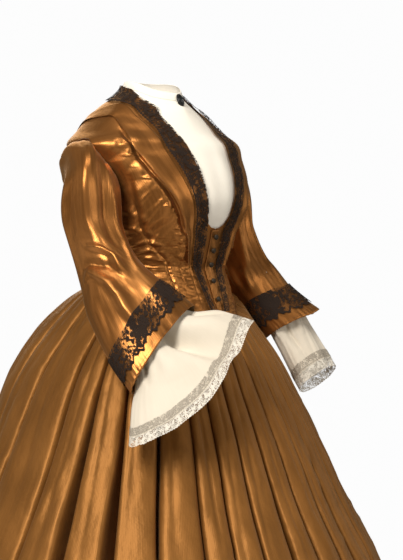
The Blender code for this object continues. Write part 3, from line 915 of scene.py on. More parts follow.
def filled(top: Array, bottom: Array, first: Array, last: Array) -> Array:
    """Fills the space inside four edges.

    Args:
        top: Angles and heights across the top.
        bottom: Those across the bottom.
        first: Those down the side where the top starts.
        last: Those down the other side.

    Returns:
        A grid of angles and heights.
    """
    u = np.linspace(0, 1, len(top))[None, :, None]
    v = np.linspace(0, 1, len(first))[:, None, None]
    corners = (1 - u) * (1 - v) * top[0] + u * (1 - v) * top[-1]
    corners = corners + (1 - u) * v * bottom[0] + u * v * bottom[-1]
    return (1 - v) * top[None] + v * bottom[None] + (1 - u) * first[:, None] + u * last[:, None] - corners


@dataclass
class Stitching:
    """Rows of small running stitches in silk thread."""

    finishes: Finishes
    length: float = 3.4
    spacing: float = 6.2
    thickness: float = 0.5

    @staticmethod
    def spread(values: Array, reach: Array, places: Array) -> Array:
        """Vectors between these ones, at other places along the same line."""
        return np.stack([np.interp(places, reach, values[:, axis]) for axis in range(3)], -1)

    def row(self, name: str, line: Array, out: Array) -> None:
        """Sews along a line.

        Args:
            name: The piece's name.
            line: Points along the seam, in millimetres.
            out: The ways out of the cloth at those points.
        """
        reach = distances(line)
        places = np.arange(self.spacing / 2, reach[-1] - self.spacing / 2, self.spacing)
        start = self.spread(line, reach, places - self.length / 2)
        end = self.spread(line, reach, places + self.length / 2)
        up = self.spread(out, reach, places)
        side = np.cross(end - start, up)
        side *= self.thickness / 2 / np.linalg.norm(side, axis=1, keepdims=True)
        middle = (start + end) / 2 + up * self.thickness
        corners = [start - side, start + side, middle + side, middle - side, end + side, end - side]
        mesh = bpy.data.meshes.new(name)
        points = (np.stack(corners, 1) * MM).reshape(-1, 3)
        faces = [tuple(6 * i + k for k in face) for i in range(len(places))
                 for face in ((0, 1, 2, 3), (3, 2, 4, 5), (0, 3, 5), (1, 4, 2), (0, 5, 4, 1))]
        mesh.from_pydata([tuple(point) for point in points], [], faces)
        add_piece(mesh, [self.finishes.thread])
        LOG.info("%s: %d stitches", name, len(places))


@dataclass
class Bodice:
    """The fitted bodice: two fronts gathered beside their bands, two sides and a back."""

    torso: Torso
    finishes: Finishes
    rows: int = 240
    columns: int = 90
    hole_samples: int = 40
    band_cloth: float = 0.6
    band_rises: tuple[float, float] = (118, 165)
    band_gap: float = 2.1
    band_grid: tuple[int, int] = (260, 22)
    lace_grid: tuple[int, int] = (300, 18)
    closing_grid: tuple[int, int] = (90, 12)
    piping_grid: tuple[int, int] = (200, 9)
    piping_radius: float = 1.8
    seam_start: int = 120
    piping_lift: float = 1.4
    neck_edge: Points = ((76, -10), (90, 0), (120, 7), (150, 11), (180, 12))
    v_edge: Points = ((-36, 56), (-50, 61), (-82, 56), (-108, 53.5), (-133, 50), (-163, 45.5), (-207, 38.5),
                      (-241, 30))
    v_curve: Points = ((-241, 30), (-256, 22), (-263, 11), (-264, 0.3))
    centre_line: Points = ((-264, 0.3), (-330, 0.3), (-380, 0.3), (-430, 0.3))
    shoulder_seam: Points = ((-55, 103), (-93, 150))
    shoulder_line: Points = ((60, -20), (103, -55), (150, -93), (185, -104))
    armhole: Curve = Curve((
        (-180, 120, -170), (-135, 113, -220), (-90, 97, -236), (-45, 81, -214), (0, 75.5, -168),
        (45, 79.5, -134), (80, 83, -103), (100, 92, -101), (135, 107, -120), (180, 120, -170),
        (225, 113, -220), (270, 97, -236),
    ))
    shoulder_turn: float = 80
    front_turn: float = -14
    back_turn: float = 228
    side_front_seam: Points = ((-222, 141), (-262, 129), (-293, 113), (-331, 80), (-360, 74))
    side_front_end: float = 40
    side_back_seam: Points = ((120, -290),)
    side_back_end: float = 122
    lower_edge: Curve = Curve((
        (0, -430), (20, -427), (42, -411), (60, -388), (75, -372), (90, -365), (120, -360), (180, -357),
    ))
    band_back: Points = ((-345, 18, 36), (-300, 27, 48), (-240, 40, 70), (-170, 56, 98), (-110, 72, 124),
                         (-66, 86, 124))
    band_ridge: Points = ((90, -30, 90, -55),)
    band_front: Points = ((-62, 100, 130), (-94, 98, 143), (-125, 96, 140), (-164, 84, 123), (-205, 69, 100),
                          (-237, 60, 83), (-275, 50.5, 64), (-305, 46.5, 56), (-332, 41.5, 50))
    lace_neck: Points = ((180, 12, 180, -20), (150, 11, 152, -20), (120, 7, 122, -23), (92, 0, 93, -27))
    lace_front: Points = ((-36, 56, 92), (-50, 61, 95), (-82, 56, 92), (-131, 50, 91), (-175, 43, 77),
                          (-203, 39, 68), (-230, 33, 60), (-268, 22, 50), (-310, 20, 44), (-335, 19, 39),
                          (-370, 17, 34), (-405, 13, 29), (-420, 10, 25))
    closing: Points = ((-267, 9.5), (-335, 9), (-400, 7), (-424, 4))

    def front_line(self, rows: Points) -> list[tuple[float, float]]:
        """Angles and heights of rows that give a height and a distance from the middle."""
        return [(float(self.torso.angle_of(across, height)), height) for height, across in rows]

    def hole(self, turn: Array | float) -> Array:
        """Angles and heights on the armhole. The turn is 90 at the shoulder and -90 under the arm."""
        return self.armhole(turn)

    def arc(self, start: float, end: float) -> Array:
        """The armhole's edge between two turns."""
        return self.hole(np.linspace(start, end, self.hole_samples))

    def lower(self, start: float, end: float, count: int) -> Array:
        """The lower edge between two angles."""
        angles = np.linspace(start, end, count)
        return np.stack((angles, self.lower_edge(np.abs((angles + 180) % 360 - 180))[:, 0]), -1)

    def edges(self) -> dict[str, Array]:
        """The lines that the panels share, on the left side.

        Returns:
            Angles and heights along each line, by its name.
        """
        torso = self.torso
        side_front = [self.hole(self.front_turn), *self.front_line(self.side_front_seam),
                      *self.lower(self.side_front_end, self.side_front_end, 1)]
        side_back = [self.hole(self.back_turn), *self.side_back_seam,
                     *self.lower(self.side_back_end, self.side_back_end, 1)]
        shoulder = [self.neck_edge[0], *self.front_line(self.shoulder_seam), self.hole(self.shoulder_turn)]
        outer = [*self.arc(self.shoulder_turn, self.front_turn), *side_front[1:]]
        back = [*shoulder, *self.arc(self.shoulder_turn, self.back_turn)[1:], *side_back[1:]]
        inner = self.front_line(self.v_edge) + self.front_line(self.v_curve)[1:]
        inner = [self.neck_edge[0], *inner, *self.front_line(self.centre_line)[1:]]
        return {
            "shoulder": torso.along(shoulder, self.columns),
            "inner": torso.along(inner, self.rows),
            "side_front": torso.along(side_front, self.rows),
            "side_back": torso.along(side_back, self.rows),
            "outer": torso.along(outer, self.rows),
            "under": torso.along(self.arc(self.front_turn, self.back_turn - 360), self.columns),
            "back": torso.along(back, self.rows),
        }

    def relief(self, angle: Array, height: Array) -> Array:
        """How far the gathers and drags lift the satin.

        Args:
            angle: Degrees from the centre front towards the left.
            height: Millimetres above the origin.

        Returns:
            The lift in millimetres.
        """
        angle = (angle + 180) % 360 - 180
        turn = np.abs(angle)
        across = np.abs(self.torso.point(angle, height)[..., 0])
        hand = np.where(angle >= 0, 31.0, 0.0)
        fine, broad = Unevenness(11), Unevenness(12)
        beyond = across - read_between(self.band_front, height, 2)
        below = read_between(self.shoulder_line, across) - height
        is_front = 1 - ramp(turn, 94, 102)
        open_zone = ramp(beyond, -2, 9) * ramp(below, 0, 8) * is_front
        bust = ramp(height, -345, -300)
        slant = (across * 0.94 + height * 0.34, -across * 0.34 + height * 0.94)
        wrinkles = 2.0 * broad(slant[0] / 11 + hand, slant[1] / 44)
        wrinkles = wrinkles + 1.3 * fine(slant[0] / 5, slant[1] / 24 + hand)
        seam_folds = 1.4 * np.exp(-np.maximum(below, 0) / 26) * fine(across / 6.0 + hand, below / 60)
        upper = 1 + 0.8 * ramp(height, -200, -130)
        puckers = upper * np.maximum(fine(height / 5.2 + hand, beyond / 26), 0) ** 1.3 * 3.6
        puckers = puckers * np.exp(-(((beyond - 9) / 8) ** 2))
        under_band = -8.0 * np.exp(-(((beyond - 1.5) / 4.6) ** 2))
        under_band = under_band * ramp(below, -10, 10) * ramp(height, -278, -262)
        waist = ramp(-height, 272, 290) * ramp(across, 14, 22) * (1 - ramp(turn, 58, 72))
        close_rows = 0.8 * fine(height / 3.6 + hand, across / 10)
        close_rows = close_rows + 0.3 * fine(height / 2.0, across / 7 + hand)
        drags = folded(SIDE_DRAGS, turn, height) * ramp(turn, 42, 54) * (1 - ramp(turn, 88, 104))
        back_waist = 1.0 * ramp(-height, 280, 350) * fine(turn / 2.6 + hand, height / 60)
        back_folds = ramp(turn, 112, 124) * (1.1 * broad(turn / 9 + hand, height / 70) + back_waist)
        gathered = open_zone * (bust * (wrinkles + seam_folds) + puckers) + under_band * is_front
        seams = folded(FRONT_SEAMS, across, height) * is_front
        return gathered + waist * close_rows + seams + drags + back_folds

    def panel(self, name: str, grid: Array, side: int, held: Held, rests_on: Sequence[str]) -> None:
        """Builds one panel.

        Args:
            name: Its node.
            grid: Its angles and heights, as on the left.
            side: 1, or -1 to build it on the right.
            held: How it is carried.
            rests_on: The nodes that carry it.
        """
        grid = grid * (side, 1)
        points = self.torso.lifted(grid, self.relief(grid[..., 0], grid[..., 1]))
        Sheet(f"cloth_{name}", points, "satin", name, held, rests_on).build(self.finishes.satin)

    def strip(self, rows: Points, steps: int, columns: int) -> Array:
        """A smooth band.

        Args:
            rows: An inner angle and height and an outer angle and height for each row.
            steps: How many rows to build.
            columns: How many points in a row.

        Returns:
            A grid of angles and heights.
        """
        line = numbered(rows)(np.linspace(0, len(rows) - 1, steps))
        share = np.linspace(0, 1, columns)[None, :, None]
        return line[:, None, :2] * (1 - share) + line[:, None, 2:] * share

    def band_rows(self, rows: Points, behind: bool = False) -> list[tuple[float, float, float, float]]:
        """Turns distances from the middle into angles.

        Args:
            rows: A height, an inner distance and an outer distance for each row.
            behind: Whether they are on the back.

        Returns:
            An inner angle and height and an outer angle and height for each row.
        """
        angle = self.torso.angle_of
        return [(float(angle(inner, height, behind)), height, float(angle(outer, height, behind)), height)
                for height, inner, outer in rows]

    def build(self) -> None:
        """Builds the panels, the two bands, the lace and the closing."""
        edges = self.edges()
        inner, columns = edges["inner"], self.columns
        front = filled(edges["shoulder"], self.lower(inner[-1][0], self.side_front_end, columns), inner,
                       edges["outer"])
        flank = filled(edges["under"], self.lower(self.side_front_end, self.side_back_end, columns),
                       edges["side_front"], edges["side_back"])
        for side in Side:
            word = side.word
            self.panel(f"bodice_front_{word}", front, side.value, Held.GATHERED, ["bodice_back"])
            self.panel(f"bodice_side_{word}", flank, side.value, Held.STRETCHED, [f"bodice_front_{word}"])
        neck = self.torso.along(self.neck_edge, columns)
        top = np.concatenate((neck, [(360 - angle, height) for angle, height in neck[-2::-1]]))
        bottom = self.lower(self.side_back_end, 360 - self.side_back_end, len(top))
        right = np.stack((360 - edges["back"][:, 0], edges["back"][:, 1]), -1)
        self.panel("bodice_back", filled(top, bottom, edges["back"], right), 1, Held.STRETCHED,
                   ["bodice_side_left", "bodice_side_right"])
        self.build_bands()
        self.build_piping()

    def build_piping(self) -> None:
        """Builds a corded strip round each armhole."""
        turn = np.linspace(-135, 225, self.piping_grid[0], endpoint=False)
        around = np.linspace(0, math.tau, self.piping_grid[1])[:, None, None]
        for side in Side:
            line = self.hole(turn) * (side.value, 1)
            middle, out = self.torso.lifted(line, self.piping_lift), self.torso.normal(line[:, 0], line[:, 1])
            along = np.roll(middle, -1, axis=0) - np.roll(middle, 1, axis=0)
            across = np.cross(along / np.linalg.norm(along, axis=1, keepdims=True), out)
            grid = middle + self.piping_radius * (np.cos(around) * out + np.sin(around) * across)
            # The cord's dark finish is painted shade, not a darker cloth.
            Sheet(f"armhole_piping_{side.word}", grid, "satin", "", Held.LAID, [f"bodice_front_{side.word}"],
                  tube=True).build(self.finishes.piping)

    def build_bands(self) -> None:
        """Builds what lies on the panels."""
        back, front = self.band_rows(self.band_back, True), self.band_rows(self.band_front)
        band = self.strip([*back, *self.band_ridge, *front], *self.band_grid)
        lace = self.strip([*self.lace_neck, *self.band_rows(self.lace_front)], *self.lace_grid)
        noise = Unevenness(21)
        stitching = Stitching(self.finishes)
        for side in Side:
            word = side.word
            share = np.linspace(0, 1, band.shape[1])[None, :]
            ahead = ramp(np.arange(len(band))[:, None], *self.band_rises)
            rise = self.band_gap + (0.6 + 5.0 * ahead) * ramp(share, 0.3, 0.92)
            soft = 0.7 * noise(np.arange(len(band))[:, None] / 9 + side.value * 40, share * 2)
            grid = band * (side.value, 1)
            points = self.torso.lifted(grid, rise + soft)
            Sheet(f"cloth_bretelle_{word}", points, "satin", f"bretelle_{word}", Held.LAID,
                  ["bodice_back", f"bodice_front_{word}"], wall=self.band_cloth).build(self.finishes.satin)
            seam = grid[self.seam_start:, -2]
            line = self.torso.lifted(seam, (rise + soft)[self.seam_start:, -2] + 0.1)
            stitching.row(f"stitches_bretelle_{word}", line, self.torso.normal(seam[:, 0], seam[:, 1]))
            share = np.linspace(0, 1, lace.shape[1])[None, :]
            over_band = ramp(share, 0.4, 0.8) * 2.8 * ramp(np.arange(len(lace))[:, None], 40, 90)
            soft = 0.5 * noise(np.arange(len(lace))[:, None] / 7, share * 3 + side.value * 30)
            grid = lace * (side.value, 1)
            points = self.torso.lifted(grid, self.band_gap + 0.9 + over_band + soft)
            Sheet(f"cloth_lace_front_{word}", points, "black_lace", f"lace_front_{word}", Held.LAID,
                  [f"bodice_front_{word}", f"bretelle_{word}"]).build(self.finishes.front_lace)
        heights = np.linspace(self.closing[0][0], self.closing[-1][0], self.closing_grid[0])
        angles = self.torso.angle_of(read_between(self.closing, heights), heights)
        share = np.linspace(-1, 1, self.closing_grid[1])
        grid = np.stack((angles[:, None] * share, heights[:, None] + 0 * share), -1)
        puckers = 0.5 * noise(heights[:, None] / 5, share[None] * 2)
        points = self.torso.lifted(grid, self.band_gap + puckers)
        Sheet("cloth_front_closing", points, "satin", "front_closing", Held.LAID,
              ["bodice_front_left", "bodice_front_right"], wall=self.band_cloth).build(self.finishes.satin)


@dataclass
class Chemisette:
    """The muslin that fills the V, with its standing collar."""

    torso: Torso
    finishes: Finishes
    under: float = 3.0
    collar_height: float = 15.5
    collar_lean: float = 4.0
    seam: Curve = Curve(((0, -20), (40, -14), (90, 0), (140, 3), (180, 4)))
    outer: Curve = Curve((
        (0, -290), (14, -286), (22, -255), (28, -205), (37, -140), (52, -90), (68, -54), (90, -28),
        (120, -20), (180, -16),
    ))

    def build(self) -> None:
        """Builds the muslin and the collar."""
        angles = np.arange(-180, 180, 2.0)
        turn = np.abs(angles)
        share = np.linspace(0, 1, 80)[:, None]
        height = (1 - share) * self.seam(turn)[None, :, 0] + share * self.outer(turn)[None, :, 0]
        grid = np.stack((np.broadcast_to(angles, height.shape), height), -1)
        noise = Unevenness(31)
        folds = 1.6 * noise(angles[None] / 9, share * 2.2) * ramp(share, 0.05, 0.5) - 0.8
        points = self.torso.lifted(grid, folds - self.under)
        Sheet("cloth_chemisette", points, "muslin", "chemisette", Held.LAID, ["bodice_back", "collar"],
              tube=True).build(self.finishes.muslin)
        seam = points[0] + (0, 0, 0.3)
        inward = -seam * (1, 1, 0) / np.linalg.norm(seam[:, :2], axis=1, keepdims=True)
        rise = np.linspace(0, 1, 14)
        bulge = 0.8 * np.sin(rise * math.pi) - 0.9 * (rise > 0.93)
        collar = [seam + inward * (self.collar_lean * s - b) + (0, 0, self.collar_height * s)
                  for s, b in zip(rise, bulge)]
        Sheet("cloth_collar", np.array(collar), "muslin", "collar", Held.STRETCHED, ["chemisette"], tube=True,
              wall=0.6).build(self.finishes.muslin)


@dataclass
class Sleeve:
    """A flared sleeve with lace round its end, and the undersleeve with its lace edging inside it."""

    bodice: Bodice
    finishes: Finishes
    side: Side
    rings: Points
    under_rings: Points
    creases: Sequence[Crease]
    under_creases: Sequence[Crease] = ()
    fall: Points = ((0, 0), (360, 0))
    under_fall: Points = ((0, 0), (360, 0))
    fall_above_hem: float = 0.3
    columns: int = 160
    cap_fullness: Points = ((0, 1.1), (80, 1.25), (140, 1.5), (200, 1.3), (260, 1.1), (360, 1.1))
    tucked_in: float = 1.0
    scallops: int = 14
    scallop_depth: float = 9.0
    lace_start: float = 16.0
    lace_width: float = 62.0
    lace_gap: float = 2.5
    edging_width: float = 20.0
    row_width: float = 17.0
    row_start: float = 1.5
    row_gap: float = 0.9
    seat_row: int = 3
    seat_depth: float = 3.0
    hem_row: int = -3
    ring_count: int = 96
    cap_count: int = 40
    under_count: int = 84
    seat_count: int = 26
    tooth_columns: int = 16
    lace_rows: int = 24
    edging_rows: int = 12
    row_rows: int = 8
    wall: float = 0.6

    @property
    def turns(self) -> Array:
        """The turn of each column, in degrees."""
        return np.arange(self.columns) * 360 / self.columns

    def tube(self, rows: Points, fall: Points, count: int) -> Array:
        """Rings round an arm.

        Args:
            rows: An under point, an upper point and a half width for each ring.
            fall: How far the hem falls below the last ring, at each turn.
            count: How many rings.

        Returns:
            A grid whose turn 0 is at the upper point, and 90 away from the body.
        """
        place = np.linspace(0, len(rows) - 1, count)
        line = numbered(rows)(place)
        under, upper, half_width = line[:, 0:3], line[:, 3:6], line[:, 6]
        centre = (under + upper) / 2
        axis = np.gradient(centre, axis=0)
        fore = (upper - under) / 2
        side = np.cross(axis, fore)
        side /= np.linalg.norm(side, axis=1, keepdims=True)
        side *= (half_width * np.sign(side[:, 0] * centre[:, 0]))[:, None]
        turn = np.radians(self.turns)[None, :, None]
        grid = centre[:, None] + fore[:, None] * np.cos(turn) + side[:, None] * np.sin(turn)
        way = axis[-1] / np.linalg.norm(axis[-1])
        last = len(rows) - 1
        lengthened = np.interp(place, [last - 2, last - 1, last], [0, self.fall_above_hem, 1])
        return grid + lengthened[:, None, None] * Curve(fall)(self.turns)[None] * way

    def plain(self) -> Array:
        """The sleeve's form without its folds.

        Returns:
            A grid from the armhole down.
        """
        rings = self.tube(self.rings, self.fall, self.ring_count)
        turn = self.turns
        hole = self.bodice.hole(np.where(turn <= 225, turn, turn - 360))
        start = self.bodice.torso.lifted(hole * (self.side.value, 1), -self.tucked_in)
        end = rings[0]
        fullness = Curve(self.cap_fullness)(turn)
        knee = start + (end - start) * np.concatenate((fullness, fullness, 0 * fullness + 0.15), axis=1)
        share = np.linspace(0, 1, self.cap_count)[:-1, None, None]
        cap = (1 - share) ** 2 * start + 2 * share * (1 - share) * knee + share ** 2 * end
        grid = np.concatenate((cap, rings))
        for _ in range(12):
            inner = (grid[:-2] + grid[2:]) / 2
            near = ramp(-np.abs(np.arange(1, len(grid) - 1) - float(self.cap_count)), -26, -6)[:, None, None]
            grid[1:-1] += (inner - grid[1:-1]) * near * 0.8
        return grid

    @staticmethod
    def normals(grid: Array) -> Array:
        """The ways out of a tube.

        Args:
            grid: Its points.

        Returns:
            A vector of length 1 for each point.
        """
        around = np.roll(grid, -1, axis=1) - np.roll(grid, 1, axis=1)
        way = np.cross(np.gradient(grid, axis=0), around)
        way /= np.linalg.norm(way, axis=-1, keepdims=True) + 1e-9
        outward = np.sum(way * (grid - grid.mean(axis=1, keepdims=True)))
        return way if outward > 0 else -way

    def folds(self, grid: Array) -> Array:
        """How far the sleeve's folds lift it, over its turn in degrees and its length in millimetres.

        Args:
            grid: The sleeve's plain form.

        Returns:
            The lift of each point.
        """
        reach = distances(grid)
        turn = np.broadcast_to(self.turns, reach.shape)
        wrapped = np.where(turn > 270, turn - 360, turn)
        broad, fine = Unevenness(41), Unevenness(42)
        hand = self.side.value * 17
        ring = np.radians(turn)
        waves = 1.6 * broad(np.cos(ring) * 1.9 + hand, np.sin(ring) * 1.9 + reach / 150)
        drapes = 1.1 * broad(np.cos(ring) * 4 + 9, np.sin(ring) * 4 + reach / 190 + hand)
        small = 0.35 * fine(np.cos(ring) * 12 + hand, np.sin(ring) * 12 + reach / 40)
        gathers = 1.5 * np.maximum(fine(turn / 3.4 + hand, reach / 90), -0.2) * np.exp(-reach / 24)
        hem = ramp(reach, 0, 1) * ramp(reach - reach[-1:], -26, -2)
        ruching = 1.6 * hem * fine(turn / 3.2, hand + reach / 60)
        body = (waves + drapes + small + folded(self.creases, wrapped, reach)) * ramp(reach, -4, 18)
        return body + gathers * ramp(reach, 0, 5) + ruching

    def band(self, grid: Array, columns: int, near: Array, far: Array, rows: int) -> Array:
        """A band round a tube.

        Args:
            grid: The tube.
            columns: How many points go round the band.
            near: How far from the tube's end it starts, at each of them.
            far: How far from the tube's end it stops.
            rows: How many points go across it.

        Returns:
            The band's points.
        """
        band = np.zeros((rows, columns, 3))
        for j in range(columns):
            place = j * grid.shape[1] / columns
            low, share = int(place), place % 1
            line = ((1 - share) * grid[:, low] + share * grid[:, (low + 1) % grid.shape[1]])[::-1]
            band[:, j] = Stitching.spread(line, distances(line), np.linspace(far[j], near[j], rows))
        return band

    def build(self) -> None:
        """Builds the sleeve, its lace, the undersleeve and the edging."""
        word, finishes = self.side.word, self.finishes
        plain = self.plain()
        normals = self.normals(plain)
        sleeve = plain + normals * self.folds(plain)[..., None]
        Sheet(f"cloth_sleeve_{word}", sleeve, "satin", f"sleeve_{word}", Held.HUNG, ["bodice_back"],
              tube=True, wall=self.wall).build(finishes.satin, finishes.lining)
        columns = self.scallops * self.tooth_columns
        tooth = np.abs((np.arange(columns) / self.tooth_columns) % 1 - 0.5) * 2
        step = np.floor(tooth * 4) / 4
        near = self.lace_start + self.scallop_depth * (0.5 * tooth + 0.5 * step)
        far = np.full(columns, self.lace_start + self.lace_width)
        outer = sleeve + normals * self.lace_gap
        lace = self.band(outer, columns, near, far, self.lace_rows)
        Sheet(f"cloth_lace_cuff_{word}", lace[::-1], "black_lace", f"lace_cuff_{word}", Held.LAID,
              [f"sleeve_{word}"], tube=True, across_first=False).build(finishes.cuff_lace)
        hem = np.concatenate((sleeve[self.hem_row], sleeve[self.hem_row][:1]))
        out = np.concatenate((normals[self.hem_row], normals[self.hem_row][:1]))
        Stitching(finishes).row(f"stitches_hem_{word}", hem + out * 0.1, out)
        self.build_undersleeve(plain, normals)

    def build_undersleeve(self, plain: Array, normals: Array) -> None:
        """Builds the undersleeve, gathered to a seat inside the sleeve, and its edging.

        Args:
            plain: The sleeve's form without its folds.
            normals: The ways out of it.
        """
        word, finishes = self.side.word, self.finishes
        under = self.tube(self.under_rings, self.under_fall, self.under_count)
        down_arm = int((self.ring_count - 1) * self.seat_row / (len(self.rings) - 1))
        seat = (plain - normals * self.seat_depth)[self.cap_count - 1 + down_arm]
        share = np.linspace(0, 1, self.seat_count)[:-1, None, None]
        eased = share * share * (3 - 2 * share)
        start = seat[None] * (1 - eased) + under[0][None] * eased
        grid = np.concatenate((start, under))
        grid_normals = self.normals(grid)
        turn, reach = self.turns, distances(grid)
        ring = np.radians(turn)[None]
        noise = Unevenness(51)
        full = ramp(reach, 20, 110)
        waves = full * 3.4 * noise(np.cos(ring) * 3.1 + self.side.value * 9, np.sin(ring) * 3.1 + reach / 300)
        small = full * 0.9 * noise(np.cos(ring) * 9, np.sin(ring) * 9 + reach / 60)
        wrapped = np.broadcast_to(np.where(turn > 270, turn - 360, turn), reach.shape)
        lift = waves + small + folded(self.under_creases, wrapped, reach)
        muslin = grid + grid_normals * lift[..., None]
        # Its finish is the darker copy of the cream muslin, whose colour is painted shade.
        Sheet(f"cloth_undersleeve_{word}", muslin, "muslin", f"undersleeve_{word}", Held.HUNG,
              [f"sleeve_{word}"], tube=True).build(finishes.lawn)
        way = muslin[-1] - muslin[-4]
        way /= np.linalg.norm(way, axis=-1, keepdims=True)
        distance = np.linspace(0.3, self.edging_width, self.edging_rows)[:, None, None]
        ripple = 1.2 * noise(turn[None] / 5, distance[:, 0] / 14)[..., None]
        edging = muslin[-1][None] + way[None] * distance + grid_normals[-1][None] * ripple
        Sheet(f"cloth_lace_edging_{word}", edging[::-1], "cream_lace", f"lace_edging_{word}", Held.HUNG,
              [f"undersleeve_{word}"], tube=True, across_first=False).build(finishes.cream_lace)
        low = np.full(self.columns, self.row_start)
        outer = muslin + grid_normals * self.row_gap
        row = self.band(outer, self.columns, low, low + self.row_width, self.row_rows)
        Sheet(f"lace_row_{word}", row[::-1], "cream_lace", "", Held.LAID, [f"undersleeve_{word}"], tube=True,
              across_first=False).build(finishes.row_lace)


